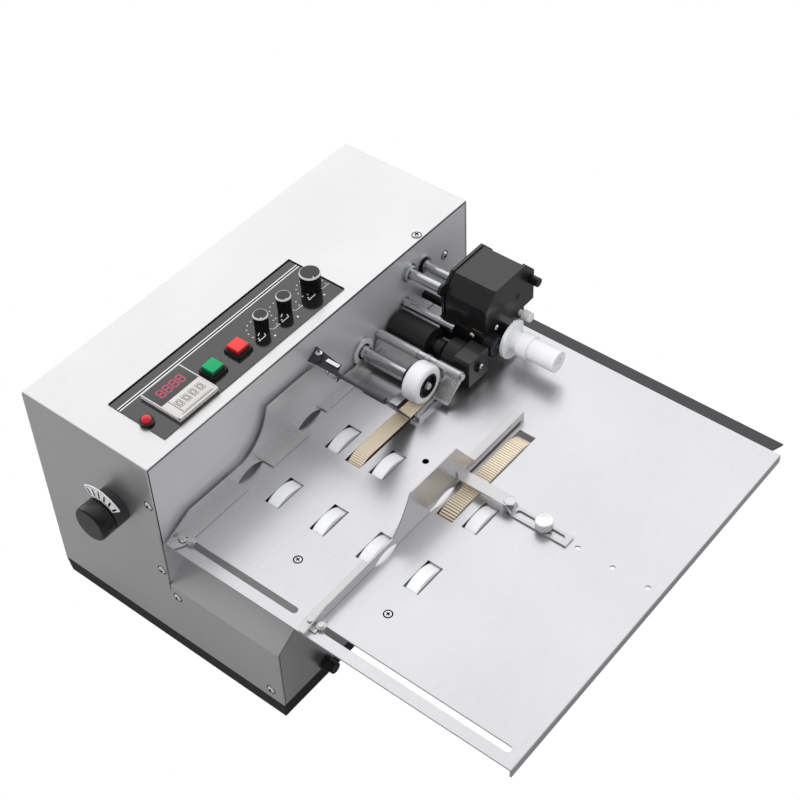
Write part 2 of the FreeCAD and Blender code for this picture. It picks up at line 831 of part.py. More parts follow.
def profile_face(start, steps):
    """Face in x and z from a start point; a step is a line's end, or an arc's middle and end."""
    here = V(start[0], 0, start[1])
    edges = []
    for step in steps:
        stops = [V(x, 0, z) for x, z in step]
        if len(stops) == 1:
            edges.append(Part.LineSegment(here, stops[0]).toShape())
        else:
            edges.append(Part.Arc(here, stops[0], stops[1]).toShape())
        here = stops[-1]
    edges.append(Part.LineSegment(here, V(start[0], 0, start[1])).toShape())
    return Part.Face(Part.Wire(edges))


def wheel_notches(start, end):
    """Arches that clear both columns of feed wheels."""
    radius = (notch_half ** 2 + notch_height ** 2) / (2 * notch_height)
    centre = fence_floor + notch_height - radius
    return [rod_y(x, centre, radius, start, end) for x in feed_columns()]


def left_guide():
    low, high, floor = table_top + left_guide_low, table_top + left_guide_high, fence_floor
    rise = first_column_x - 7
    face = profile_face((table_left, floor), [
        [(table_left, floor + 3.5)],
        [(32, low + 0.5)],
        [(rise, low)],
        [(rise + 22, low + 13), (rise + 34, high - 6)],
        [(rise + 35.5, high)],
        [(second_column_x + 14, high)],
        [(second_column_x + 40, low - 2.5)],
        [(left_guide_end, low - 2.5)],
        [(left_guide_end, floor)]])
    wall = face.extrude(V(0, -guide_sheet, 0))
    wall.translate(V(0, -left_guide_y, 0))
    inner = left_guide_y
    foot_end = first_column_x - notch_half - 1
    parts = [wall]
    parts.append(slab_z([(table_left, inner), (table_left, 12.5), (11, left_flange_reach),
                         (foot_end, left_flange_reach), (foot_end, inner)],
                        floor, floor + guide_sheet))
    parts.append(block((first_column_x + notch_half + 0.5, second_column_x - notch_half),
                       (-left_flange_reach, -inner), (floor, floor + guide_sheet)))
    parts.append(block((second_column_x + notch_half + 0.5, left_guide_end),
                       (-left_exit_reach, -inner), (floor, floor + guide_sheet)))
    pin_y = left_slot_start + pin_radius + 0.7
    parts.append(rod_z(fence_slot_x, -pin_y, pin_radius, table_under - 6, floor + 4))
    parts.append(rod_z(fence_slot_x, -pin_y, nut_radius, floor, floor + 3))
    parts.append(rod_z(15.5, -10, 3.2, floor, floor + 3))
    solid = merged(parts).cut(wheel_notches(0, left_flange_reach + 1))
    add("left_guide", solid)


def right_guide():
    low, high, floor = table_top + right_guide_low, table_top + right_guide_high, fence_floor
    rise = first_column_x + 9
    face = profile_face((table_left, floor), [
        [(table_left, floor + 3.5)],
        [(31, low)],
        [(rise, low + 1)],
        [(rise + 15, low + 18), (rise + 24, high - 1)],
        [(rise + 26, high)],
        [(second_column_x + 17, high)],
        [(second_column_x + 42, low - 1)],
        [(right_guide_end, low - 1)],
        [(right_guide_end, floor)]])
    wall = face.extrude(V(0, -guide_sheet, 0))
    wall.translate(V(0, -right_guide_y, 0))
    outer = right_guide_y + guide_sheet
    inner = right_guide_y - right_flange_width
    foot_end = first_column_x - notch_half - 1
    parts = [wall]
    parts.append(slab_z([(table_left, outer), (table_left, inner + 4), (11, inner),
                         (foot_end, inner), (foot_end, outer)], floor, floor + guide_sheet))
    parts.append(block((first_column_x + notch_half + 0.5, second_column_x - notch_half - 7),
                       (-outer, -inner), (floor, floor + guide_sheet)))
    parts.append(block((second_column_x + notch_half + 0.5, right_guide_end),
                       (-outer, -inner), (floor + belt_clear - guide_sheet, floor + belt_clear)))
    pin_y = right_slot_start + pin_radius + 0.7
    parts.append(block((fence_slot_x - 8, fence_slot_x + 8), (-pin_y, -outer + 1),
                       (floor, floor + guide_sheet)))
    parts.append(rod_z(fence_slot_x, -pin_y, pin_radius, table_under - 6, floor + 4))
    parts.append(rod_z(fence_slot_x, -pin_y, nut_radius, floor, floor + 3))
    parts.append(rod_z(16.8, -150, 3.2, floor, floor + 3))
    belt_gap = block((second_column_x - 20, front_belt_x + 28), (-outer - 1, -inner + 1),
                     (floor - 1, floor + belt_clear - guide_sheet))
    cuts = wheel_notches(inner - 1, outer + 1) + [belt_gap]
    add("right_guide", merged(parts).cut(cuts))


def guide_arm():
    inner = right_guide_y + guide_sheet
    left, right = arm_x - arm_width / 2, arm_x + arm_width / 2
    low = fence_floor
    high = low + arm_raise
    outline = [
        (-inner, high), (-arm_step_y, high), (-arm_step_y - arm_step_run, low),
        (-arm_end_y, low), (-arm_end_y, low + arm_sheet),
        (-arm_step_y - arm_step_run + 0.8, low + arm_sheet),
        (-arm_step_y + 0.8, high + arm_sheet), (-inner - arm_sheet, high + arm_sheet),
        (-inner - arm_sheet, high + 9), (-inner, high + 9)]
    arm = slab_x(outline, left, right)
    slot = slot_y(arm_x, arm_slot_start, arm_slot_end, arm_slot_width, low - 1, low + arm_sheet + 1)
    add("guide_arm", arm.cut(slot))
    base = low + arm_sheet + lift_gap
    head = rod_z(arm_x, -thumb_screw_y, thumb_head_radius, base + 1.2, base + 1.2
                 + thumb_head_height)
    head = round_edges(head, 0.8, lambda box: box.ZMin > base + thumb_head_height)
    screw = merged([
        head,
        rod_z(arm_x, -thumb_screw_y, thumb_head_radius - 2.5, base, base + 1.2),
        rod_z(arm_x, -thumb_screw_y, thumb_shank_radius, table_under - 7, base + 1)])
    add("arm_thumb_screw", screw)


def separator():
    turn = math.radians(leaf_angle)
    along = V(math.cos(turn), 0, math.sin(turn))
    normal = V(-math.sin(turn), 0, math.cos(turn))
    base = V(separator_x, 0, separator_z) + normal * (separator_shaft_radius + 1.0) - along * 2.5
    outline = [(0, 0.5), (leaf_width, 0.5), (leaf_width - 4, leaf_length - 1.5), (2, leaf_length)]
    corners = [base + along * u + V(0, -v, 0) for u, v in outline]
    leaf = Part.Face(Part.makePolygon(corners + corners[:1])).extrude(normal * -sheet)
    head = Part.makeCylinder(3.2, 2.0, base + along * 6 + V(0, -9, 0), normal)
    shaft = rod_y(separator_x, separator_z, separator_shaft_radius, -plate_thickness - 5,
                  separator_length)
    stop = rod_y(separator_x, separator_z, separator_shaft_radius + 2, -plate_thickness - 4,
                 -plate_thickness - 0.3)
    add("separator_lever", merged([shaft, leaf, head, stop]))
    tip = V(blade_tip_x, 0, belt_top + 0.6)
    root = V(separator_x, 0, separator_z)
    down = (tip - root).normalize()
    side = V(down.z, 0, -down.x) * blade_sheet
    start = root + down * separator_shaft_radius
    end = blade_start + blade_width
    corners = [start, tip, tip - side, start - side]
    corners = [corner + V(0, -blade_start, 0) for corner in corners]
    blade = Part.Face(Part.makePolygon(corners + corners[:1])).extrude(V(0, -blade_width, 0))
    clip = rod_y(separator_x, separator_z, separator_shaft_radius + 1.4, blade_start, end)
    bore = rod_y(separator_x, separator_z, separator_shaft_radius, blade_start - 1, end + 1)
    add("separator_blade", merged([blade, clip]).cut(bore))


def head_outline():
    """Hexagon of the hood's two cheeks, in x and z."""
    side = head_top - head_chamfer
    return [
        (head_left, head_low + 4), (head_left, side), (head_left + head_chamfer, head_top),
        (head_right - head_exit_chamfer, head_top), (head_right, side), (head_right, head_bottom),
        (head_right - 27, head_bottom), (head_right - 39, head_low),
        (head_left - cheek_lip, head_low), (head_left - cheek_lip, head_bottom)]


def inset_hexagon(inset, start, end):
    """Prism inside the cheeks' outline, for the hood and the walls."""
    side = head_top - head_chamfer
    corners = [(head_left, head_low), (head_left, side), (head_left + head_chamfer, head_top),
               (head_right - head_exit_chamfer, head_top), (head_right, side),
               (head_right, head_low)]
    points = [V(x, -start, z) for x, z in corners]
    face = Part.Face(Part.makePolygon(points + points[:1]))
    return face.makeOffset2D(-inset).extrude(V(0, start - end, 0))


def print_head():
    rear = slab_y(head_outline(), head_start, head_start + cheek)
    rear = merged([rear, rod_y(post_one[0], post_one[1], post_one_radius + 1.5, head_start,
                               head_start + cheek)])
    front = slab_y(head_outline(), head_end - cheek, head_end)
    front = merged([front, rod_y(ink_knob_x, ink_knob_z, ink_knob_radius + 1.5, head_end - cheek,
                                 head_end)])
    entry = block((head_left - 2, head_left + 1.2), (-head_end, -head_start),
                  (head_low, hood_split - 0.3))
    exit_x = head_right - hood_inset
    exit_wall = block((exit_x - hood_sheet, exit_x), (-head_end, -head_start),
                      (head_bottom, hinge_z - 9))
    stub = rod_y(idler_x, idler_z, 2.5, head_end, head_end + print_gear_width + 1)
    frame = merged([rear, front, entry, exit_wall, stub])
    bores = [
        rod_y(platen_x, print_z, print_shaft_radius + running_fit, head_start - 1, head_end + 1),
        rod_y(ink_x, ink_z, ink_core_radius + running_fit, head_start - 1, head_end + 1),
        rod_y(hinge_x, hinge_z, hinge_pin_radius + running_fit, head_start - 1, head_end + 1),
        rod_y(ink_knob_x, ink_knob_z, 2 + running_fit, head_end - cheek - 1, head_end + 1)]
    add("head_frame", frame.cut(bores))
    start, end = head_start + cheek + curved_gap, head_end - cheek - curved_gap
    shell = inset_hexagon(hood_inset, start, end)
    shell = shell.cut(inset_hexagon(hood_inset + hood_sheet, start - 1, end + 1))
    middle = (head_left + head_right) / 2
    keep_left = block((head_left - 1, middle), (-end, -start), (hood_split, head_top + 1))
    keep_right = block((middle, head_right + 1), (-end, -start), (hinge_z, head_top + 1))
    shell = shell.common(keep_left.fuse(keep_right))
    ears = []
    for low, high in ((start, start + 2), (end - 2, end)):
        ear = rod_y(hinge_x, hinge_z, hinge_pin_radius + 2.5, low, high)
        ears.append(ear.common(inset_hexagon(hood_inset, low, high)))
    hood = merged([shell] + ears)
    pin_hole = rod_y(hinge_x, hinge_z, hinge_pin_radius + running_fit, start - 1, end + 1)
    add("head_hood", hood.cut(pin_hole))
    knob = rod_y(hinge_x, hinge_z, 4.5, head_end + curved_gap, head_end + 9.5)
    knob = round_edges(knob, 0.8, lambda box: box.YMax < -head_end - 9)
    add("hood_knob", merged([knob, rod_y(hinge_x, hinge_z, hinge_pin_radius, head_start,
                                         head_end + 2)]))


def ink_and_type():
    start, end = type_start, type_start + type_width
    roll = rod_y(ink_x, ink_z, ink_radius, start - 1, end + 1)
    core = rod_y(ink_x, ink_z, ink_core_radius, head_start, head_end)
    flanges = [rod_y(ink_x, ink_z, 9, start - 4, start - 1), rod_y(ink_x, ink_z, 9, end + 1, end + 4)]
    add("ink_roll", merged([roll, core] + flanges))
    shaft = rod_y(platen_x, print_z, print_shaft_radius, -gear_start - 10, sleeve_end - 8)
    collar = shaft_collars(platen_x, print_z, print_shaft_radius)
    span = math.hypot(idler_x - platen_x, idler_z - print_z)
    print_radius = span * print_teeth / (print_teeth + idler_teeth) - curved_gap / 2
    idler_radius = span * idler_teeth / (print_teeth + idler_teeth) - curved_gap / 2
    low, high = head_end + 0.5, head_end + 0.5 + print_gear_width
    gear = spur_gear(platen_x, print_z, print_radius, print_teeth, low, high)
    add("print_shaft", merged([shaft, collar, gear]))
    idler = spur_gear(idler_x, idler_z, idler_radius, idler_teeth, low, high)
    add("idler_gear", idler.cut(rod_y(idler_x, idler_z, 2.5 + running_fit, low - 1, high + 1)))
    holder = rod_y(platen_x, print_z, type_holder_radius, start, end)
    blocks = []
    for turn in (-90, 90):
        lug = block((0, type_radius - 0.5), (-end + 1, -start - 1), (-5, 5))
        lug = lug.common(rod_y(0, 0, type_radius, start, end))
        lug.rotate(V(0, 0, 0), V(0, 1, 0), -turn)
        lug.translate(V(platen_x, 0, print_z))
        blocks.append(lug)
    holder = merged([holder] + blocks)
    add("type_holder", holder.cut(rod_y(platen_x, print_z, print_shaft_radius, start - 1, end + 1)))
    sleeve_setting()


def sleeve_setting():
    """White setting sleeve clamped on the outer end of the print shaft."""
    x, z = platen_x, print_z
    groove = sleeve_start + 24
    parts = [
        rod_y(x, z, sleeve_disc_radius, sleeve_start, sleeve_start + 4),
        rod_y(x, z, sleeve_radius - 1.5, sleeve_start + 4, sleeve_start + 12),
        rod_y(x, z, sleeve_radius + 1.5, sleeve_start + 12, groove - 1),
        rod_y(x, z, sleeve_radius - 0.8, groove - 1, groove + 1),
        rod_y(x, z, sleeve_radius, groove + 1, sleeve_end)]
    sleeve = merged(parts)
    flat = block((x + sleeve_disc_radius - 6, x + sleeve_disc_radius + 1),
                 (-sleeve_start - 5, -sleeve_start + 1), (z - 20, z + 20))
    hole = rod_y(x - 11, z - 8, 2.0, sleeve_start - 1, sleeve_start + 5)
    socket = rod_y(x, z, 4.5, sleeve_end - 6, sleeve_end + 1)
    bore = rod_y(x, z, print_shaft_radius, sleeve_start - 1, sleeve_end - 8)
    add("print_sleeve", sleeve.cut([flat, hole, socket, bore]))
    knob = merged([
        rod_y(ink_knob_x, ink_knob_z, ink_knob_radius, head_end + 2, head_end + 13),
        rod_y(ink_knob_x, ink_knob_z, 2, head_end - cheek, head_end + 2)])
    add("ink_knob", knob)


def panel():
    plate = block((panel_left, panel_left + panel_length), (panel_front, panel_front + panel_width),
                  (casing_height, panel_top))
    add("panel_plate", plate.cut(panel_openings(casing_height - 1, panel_top + 1, 0)))
    half, body = counter_side / 2, counter_body / 2 - 0.2
    top = panel_top + counter_proud
    case = block((counter_x - half, counter_x + half), (counter_y - half, counter_y + half),
                 (panel_top, top))
    case = round_edges(case, 1.5, lambda box: box.ZLength < 0.01 and box.ZMin > top - 0.1)
    lower = block((counter_x - body, counter_x + body), (counter_y - body, counter_y + body),
                  (panel_top - counter_depth, panel_top))
    window = block((counter_x - half + 3, counter_x + half - 3), (counter_y + 1, counter_y + 20),
                   (top - 0.6, top + 1))
    wheels = block((counter_x - half + 8, counter_x + half - 8), (counter_y - 18, counter_y - 3),
                   (top - 1.0, top + 1))
    add("counter_case", merged([case, lower]).cut([window, wheels]))


def square_button(name, x):
    half = button_side / 2
    frame = block((x - half, x + half), (button_row_y - half, button_row_y + half),
                  (panel_top, panel_top + 3))
    frame = round_edges(frame, 1.0, lambda box: box.ZLength > 2)
    barrel = rod_z(x, button_row_y, half - 1.3, panel_top - 20, panel_top)
    cap_half = half - 2
    pocket = block((x - cap_half - curved_gap, x + cap_half + curved_gap),
                   (button_row_y - cap_half - curved_gap, button_row_y + cap_half + curved_gap),
                   (panel_top, panel_top + 4))
    bore = rod_z(x, button_row_y, 5, panel_top - 21, panel_top + 1)
    add("button_bezels", merged([frame, barrel]).cut([pocket, bore]))
    cap_low = panel_top + button_travel + curved_gap
    cap = block((x - cap_half, x + cap_half), (button_row_y - cap_half, button_row_y + cap_half),
                (cap_low, cap_low + 4.7))
    cap = round_edges(cap, 0.8, lambda box: box.ZMin > cap_low + 4.6)
    stem = rod_z(x, button_row_y, 5 - curved_gap, panel_top - 16, cap_low)
    add(name, merged([cap, stem]))


def buttons():
    square_button("start_button", start_x)
    square_button("stop_button", stop_x)
    ring = rod_z(reset_x, reset_y, reset_radius + 2, panel_top, panel_top + 2.5)
    barrel = rod_z(reset_x, reset_y, reset_radius + 0.8, panel_top - 16, panel_top)
    bore = rod_z(reset_x, reset_y, reset_radius + curved_gap, panel_top - 17, panel_top + 3)
    add("button_bezels", merged([ring, barrel]).cut(bore))
    dome = Part.makeSphere(reset_radius, V(reset_x, reset_y, panel_top + 2.4))
    stem = rod_z(reset_x, reset_y, reset_radius, panel_top - 12, panel_top + 2.4)
    add("reset_button", merged([dome, stem]))


def panel_knob(name, x, radius, height):
    base = panel_top + lift_gap
    shoulder = base + height - knob_cap_height
    grip = Part.makeCone(radius - 2 * knob_waist, radius - knob_waist, shoulder - base,
                         V(x, knob_row_y, base))
    cap = rod_z(x, knob_row_y, radius, shoulder, base + height)
    cap = round_edges(cap, 0.8, lambda box: box.ZMin > base + height - 1)
    shaft = rod_z(x, knob_row_y, knob_shaft_radius, panel_top - 22, base)
    stop = rod_z(x, knob_row_y, knob_shaft_radius + 2, casing_height - sheet - 5,
                 casing_height - sheet - lift_gap)
    add(name, merged([grip, cap, shaft, stop]))


def side_control():
    y, z = side_knob_y, side_knob_z
    face = -side_collar_reach - side_groove
    grip = rod_x(y, z, side_knob_radius, -side_knob_reach, face)
    grip = round_edges(grip, side_edge, lambda box: box.XMax < -side_knob_reach + 0.1)
    add("side_knob", merged([grip, rod_x(y, z, knob_shaft_radius, face, 22)]))
    collar = rod_x(y, z, side_knob_radius, -side_collar_reach, 0)
    bore = rod_x(y, z, knob_shaft_radius + running_fit, -side_collar_reach - 1, 1)
    add("scale_plate", collar.cut(bore))
    low = -side_collar_reach
    ring = rod_x(y, z, scale_outer, low, low + scale_sheet)
    ring = ring.cut(rod_x(y, z, side_knob_radius, low - 1, low + scale_sheet + 1))
    corners = [(y, z)]
    for degrees in (scale_from, 90, scale_to):
        turn = math.radians(degrees)
        corners.append((y + 2 * scale_outer * math.cos(turn), z + 2 * scale_outer * math.sin(turn)))
    add("scale_plate", ring.common(slab_x(corners, low - 1, low + scale_sheet + 1)))


def fuse_and_inlet():
    end = housing_reach + fuse_reach
    cap = merged([
        rod_y(fuse_x, fuse_z, fuse_radius, housing_reach, housing_reach + 3),
        rod_y(fuse_x, fuse_z, fuse_radius - 1.5, housing_reach + 3, end)])
    add("fuse_holder", cap)
    back = casing_depth + inlet_flange
    half = 23.7
    flange = block((inlet_x - half - 3, inlet_x + half + 3), (casing_depth, back),
                   (inlet_z - half - 2, inlet_z + half + 2))
    body = block((inlet_x - half, inlet_x + half), (casing_depth - 24, casing_depth),
                 (inlet_z - half, inlet_z + half))
    socket = block((inlet_x - 12, inlet_x + 12), (casing_depth - 18, back + 1),
                   (inlet_z - 19, inlet_z - 2))
    rocker_hole = block((inlet_x - 11, inlet_x + 11), (casing_depth - 12, back + 1),
                        (inlet_z + 2, inlet_z + 20))
    inlet = merged([flange, body]).cut([socket, rocker_hole])
    pins = [block((inlet_x + x - 1, inlet_x + x + 1), (casing_depth - 18, casing_depth - 3),
                  (inlet_z + z - 2.5, inlet_z + z + 2.5)) for x, z in ((-7, -12), (0, -8), (7, -12))]
    add("power_inlet", merged([inlet] + pins))
    rocker = rod_x(back - 6.0, inlet_z + 11, 5.5, inlet_x - 9, inlet_x + 9)
    axle = rod_x(back - 6.0, inlet_z + 11, 1.5, inlet_x - 10.9, inlet_x + 10.9)
    add("power_switch", merged([rocker, axle]))


def drive():
    first, second = (second_column_x, motor_z), (second_column_x, feed_axis_z)
    start, end = -gear_start - 12, -gear_start
    inner_radius = drive_radius + curved_gap
    outer = loop(first, second, inner_radius + drive_belt_thickness, start + 1, end - 1)
    add("drive_belt", outer.cut(loop(first, second, inner_radius, start, end)))
    pulley = merged([
        rod_y(second_column_x, motor_z, drive_radius, start, end),
        rod_y(second_column_x, motor_z, 4, -gear_start - 30, end)])
    add("motor_pulley", pulley)
    face = gear_start + 16
    gearbox = block((second_column_x - 34, second_column_x + 34), (face, face + 26),
                    (motor_z - 34, motor_z + 34))
    can = rod_y(second_column_x, motor_z, motor_radius, -face - 26 - motor_length, -face - 26)
    posts = [rod_y(second_column_x + x, motor_z + z, 4, -face, -plate_thickness)
             for x in (-28, 28) for z in (-28, 28)]
    bore = rod_y(second_column_x, motor_z, 4 + running_fit, -face - 16, -face + 1)
    add("gear_motor", merged([gearbox, can] + posts).cut(bore))
    add("control_board", merged(control_board()))


def control_board():
    """Board on four stand-offs, with its transformer and its capacitors and relays."""
    top = board_raise + board_thickness
    right = casing_length - board_inset
    left = right - board_length
    back = board_start + board_width
    parts = [block((left, right), (board_start, back), (board_raise, top))]
    parts += [rod_z(x, y, stand_off_radius, 0, board_raise)
              for x in (left + board_edge, right - board_edge)
              for y in (board_start + board_edge, back - board_edge)]
    parts.append(block((left + transformer_inset, left + transformer_inset + transformer_length),
                       (back - relay_inset - transformer_width, back - relay_inset),
                       (top, top + transformer_height)))
    for i in range(relay_count):
        x = right - relay_inset - i * relay_pitch
        size = relay_side - 2 * (i % 2)
        parts.append(rod_z(x, board_start + capacitor_in, size / 2, top, top + 2 * size))
        parts.append(block((x - size / 2, x + size / 2), (back - relay_inset - relay_length,
                                                          back - relay_inset), (top, top + size)))
    return parts


def build():
    for make in (tray, casing, front_plate, rear_plate, housing_front, casing_screws, feed_table,
                 discharge_lip, shaft_bracket, feed_shafts, feed_belts, feed_rollers, bridge_plate,
                 press_wheel, support_rods, top_guide_plate, left_guide, right_guide, guide_arm,
                 separator, print_head, ink_and_type, panel, buttons, side_control,
                 fuse_and_inlet, drive):
        make()
    panel_knob("speed_knob", speed_x, small_knob_radius, small_knob_height)
    panel_knob("position_knob", position_x, small_knob_radius, small_knob_height)
    panel_knob("heater_knob", heater_x, large_knob_radius, large_knob_height)


def export():
    os.makedirs("parts", exist_ok=True)
    for name, solids in pieces.items():
        shape = solids[0] if len(solids) == 1 else Part.makeCompound(solids)
        shape = shape.copy()
        shape.translate(origin_shift)
        shape.exportStep("parts/%s.step" % name)
        box = shape.BoundBox
        print("%-22s solids %2d valid %s  x %7.1f %7.1f  y %7.1f %7.1f  z %6.1f %6.1f" % (
            name, len(shape.Solids), shape.isValid(), box.XMin, box.XMax, box.YMin, box.YMax,
            box.ZMin, box.ZMax))


build()
export()
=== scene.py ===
"""Looks of the date coding machine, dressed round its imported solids.

All lengths in the classes below are in millimetres of the shared frame unless a name says otherwise;
meshes are made in millimetres and scaled to metres when they are finished.
"""

import json
import logging
import math
from collections.abc import Sequence
from dataclasses import dataclass, field
from enum import Enum

import bmesh
import bpy
from mathutils import Matrix, Vector


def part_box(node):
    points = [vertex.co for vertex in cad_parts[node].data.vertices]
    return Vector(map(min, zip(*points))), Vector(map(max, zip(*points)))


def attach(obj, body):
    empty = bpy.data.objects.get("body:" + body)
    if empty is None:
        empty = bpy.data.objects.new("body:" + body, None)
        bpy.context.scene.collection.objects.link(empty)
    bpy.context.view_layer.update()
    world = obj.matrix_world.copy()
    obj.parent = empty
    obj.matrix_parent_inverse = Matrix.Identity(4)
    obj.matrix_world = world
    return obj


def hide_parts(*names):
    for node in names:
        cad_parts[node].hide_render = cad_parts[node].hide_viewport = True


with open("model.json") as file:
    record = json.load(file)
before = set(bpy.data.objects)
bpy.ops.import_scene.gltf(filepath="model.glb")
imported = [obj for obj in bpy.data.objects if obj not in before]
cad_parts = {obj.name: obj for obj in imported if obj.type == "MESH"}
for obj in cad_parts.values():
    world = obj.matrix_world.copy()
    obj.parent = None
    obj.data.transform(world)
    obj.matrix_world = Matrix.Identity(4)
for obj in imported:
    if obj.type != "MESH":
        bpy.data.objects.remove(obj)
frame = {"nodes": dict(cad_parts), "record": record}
LOG = logging.getLogger("date_coder")
MM = 0.001
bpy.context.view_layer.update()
WELD = 1e-6
SHARP = math.radians(32)
FLAT = math.radians(0.5)
FULL_TURN = 2 * math.pi
WHITE = (1.0, 1.0, 1.0, 1.0)

Point = tuple[float, float, float]
Profile = Sequence[tuple[float, float]]
UP: Point = (0, 0, 1)
FRONT: Point = (0, -1, 0)
BACK: Point = (0, 1, 0)
LEFT: Point = (-1, 0, 0)


def linear(hex_colour: str) -> tuple[float, float, float, float]:
    """Turn an sRGB hex colour into the linear values that shaders take.

    Args:
        hex_colour: six digits with a leading #.

    Returns:
        Linear red, green and blue, and a full alpha.
    """
    channels = [int(hex_colour[i:i + 2], 16) / 255 for i in (1, 3, 5)]
    values = [c / 12.92 if c <= 0.04045 else ((c + 0.055) / 1.055) ** 2.4 for c in channels]
    return values[0], values[1], values[2], 1.0


def fresh_tree(owner: bpy.types.Material | bpy.types.World) -> bpy.types.NodeTree:
    """Give a material's or the world's node tree, emptied."""
    owner.use_nodes = True
    owner.node_tree.nodes.clear()
    return owner.node_tree


def add_node(tree: bpy.types.NodeTree, kind: str, inputs: dict | None = None,
             **settings: object) -> bpy.types.Node:
    """Add one node with its settings, values and links.

    Args:
        tree: the shader or geometry tree.
        kind: the node's class name.
        inputs: socket name or index to a value, or to an output socket to link from.
        settings: attributes of the node itself.

    Returns:
        The new node.
    """
    node = tree.nodes.new(kind)
    for name, value in settings.items():
        setattr(node, name, value)
    for key, value in (inputs or {}).items():
        socket = node.inputs[key]
        if isinstance(value, bpy.types.NodeSocket):
            tree.links.new(value, socket)
        else:
            socket.default_value = value
    return node


class Slot(Enum):
    """Names of the record's material slots; nothing in this script gives a piece one."""

    STEEL = "plated_steel"
    ENAMEL = "black_enamel"
    NYLON = "white_nylon"
    PLASTIC = "black_plastic"
    RUBBER = "black_rubber"
    PALE_RUBBER = "white_rubber"
    BELT = "cream_belt"
    COUNTER = "counter_grey"
    PANEL = "panel_film"
    GREEN = "green_plastic"
    RED = "red_plastic"


class Grain(Enum):
    """Direction of a brushed finish, as the noise's stretch along x, y and z."""

    ALONG_X = (0.02, 1.0, 1.0)
    NONE = (1.0, 1.0, 1.0)


@dataclass(frozen=True)
class Finish:
    """One surface finish, from its common name and how it was made.

    pitch is the real size of the grain or speckle in millimetres, depth the height of its bump,
    mottle the size of its broad shading and edge the radius that catches light along a corner.
    """

    name: str
    colour: str
    second: str
    metallic: float = 0.0
    roughness: float = 0.5
    roughness_spread: float = 0.08
    grain: Grain = Grain.NONE
    pitch: float = 0.6
    depth: float = 0.01
    mottle: float = 40.0
    coat: float = 0.0
    subsurface: float = 0.0
    emission: float = 0.0
    ior: float = 1.5
    edge: float = 0.0

    def build(self) -> bpy.types.Material:
        """Make the material, once for each name.

        Returns:
            The Blender material.
        """
        known = bpy.data.materials.get(self.name)
        if known:
            return known
        material = bpy.data.materials.new(self.name)
        tree = fresh_tree(material)
        place = add_node(tree, "ShaderNodeTexCoord")
        stretch = add_node(tree, "ShaderNodeMapping", {"Vector": place.outputs["Object"],
                                                       "Scale": self.grain.value})
        fine = add_node(tree, "ShaderNodeTexNoise", {
            "Vector": stretch.outputs[0], "Scale": 1 / (self.pitch * MM), "Detail": 3.0,
            "Roughness": 0.6})
        broad = add_node(tree, "ShaderNodeTexNoise", {
            "Vector": place.outputs["Object"], "Scale": 1 / (self.mottle * MM), "Detail": 2.0})
        both = add_node(tree, "ShaderNodeMath", {0: fine.outputs["Fac"], 1: broad.outputs["Fac"]},
                        operation="ADD")
        share = add_node(tree, "ShaderNodeMapRange", {
            "Value": both.outputs[0], "From Min": 0.6, "From Max": 1.4})
        tone = add_node(tree, "ShaderNodeMix", {
            0: share.outputs[0], 6: linear(self.colour), 7: linear(self.second)},
            data_type="RGBA").outputs[2]
        rough = add_node(tree, "ShaderNodeMapRange", {
            "Value": fine.outputs["Fac"], "To Min": self.roughness - self.roughness_spread,
            "To Max": self.roughness + self.roughness_spread})
        bump = add_node(tree, "ShaderNodeBump", {
            "Height": fine.outputs["Fac"], "Distance": self.depth * MM, "Strength": 1.0})
        if self.edge:
            corner = add_node(tree, "ShaderNodeBevel", {"Radius": self.edge * MM}, samples=4)
            tree.links.new(corner.outputs[0], bump.inputs["Normal"])
        shader = add_node(tree, "ShaderNodeBsdfPrincipled", {
            "Base Color": tone, "Roughness": rough.outputs[0], "Normal": bump.outputs[0],
            "Metallic": self.metallic, "IOR": self.ior, "Coat Weight": self.coat,
            "Subsurface Weight": self.subsurface})
        if self.emission:
            tree.links.new(tone, shader.inputs["Emission Color"])
            shader.inputs["Emission Strength"].default_value = self.emission
        add_node(tree, "ShaderNodeOutputMaterial", {"Surface": shader.outputs[0]})
        return material


# Casing top: brushed sheet, nearly white with faint streaks along the feed
TOP_STEEL = Finish("brushed_stainless_sheet", "#e2e2e3", "#d9d8d9", metallic=0.93, roughness=0.36,
                   grain=Grain.ALONG_X, pitch=0.5, depth=0.006, mottle=90, edge=0.25)
# Table: smoother sheet, pale in the open and dark beside whatever stands on it
TABLE_STEEL = Finish("satin_stainless_table", "#d9d8da", "#cdccd0", metallic=0.95, roughness=0.3,
                     grain=Grain.ALONG_X, pitch=0.5, depth=0.006, mottle=120, edge=0.4)
# Front plate: the same sheet upright, an even mid grey with a soft cloud or two
PLATE_STEEL = Finish("satin_stainless_plate", "#dfe0e3", "#d5d6d9", metallic=0.42, roughness=0.36,
                     grain=Grain.ALONG_X, pitch=0.5, depth=0.005, mottle=90, edge=0.3)
# Fences, arm and guide plate: quiet grey sheet whose bent edges catch a bright line
FENCE_STEEL = Finish("ground_stainless_fence", "#cfcecf", "#c8c7c9", metallic=0.75, roughness=0.27,
                     roughness_spread=0.02, pitch=0.5, depth=0.001, mottle=60, edge=0.35)
# Separator: even dark grey strip without a streak
LEAF_STEEL = Finish("darkened_steel_leaf", "#515054", "#4a494d", metallic=0.55, roughness=0.45,
                    pitch=0.5, depth=0.003, mottle=30, edge=0.3)
# Rods and shafts: a narrow bright band along the upper side and a dark one below
TURNED_STEEL = Finish("turned_plated_steel", "#dadbde", "#c2c3c6", metallic=1.0, roughness=0.16,
                      roughness_spread=0.01, pitch=0.8, depth=0.0005, mottle=25)
# Screws and the clamp screw: the brightest small sparks on the machine
BRIGHT_STEEL = Finish("bright_zinc_plated_screw", "#f4f5f5", "#e6e7e9", metallic=0.6,
                      roughness=0.2, pitch=0.3, depth=0.001, mottle=6)
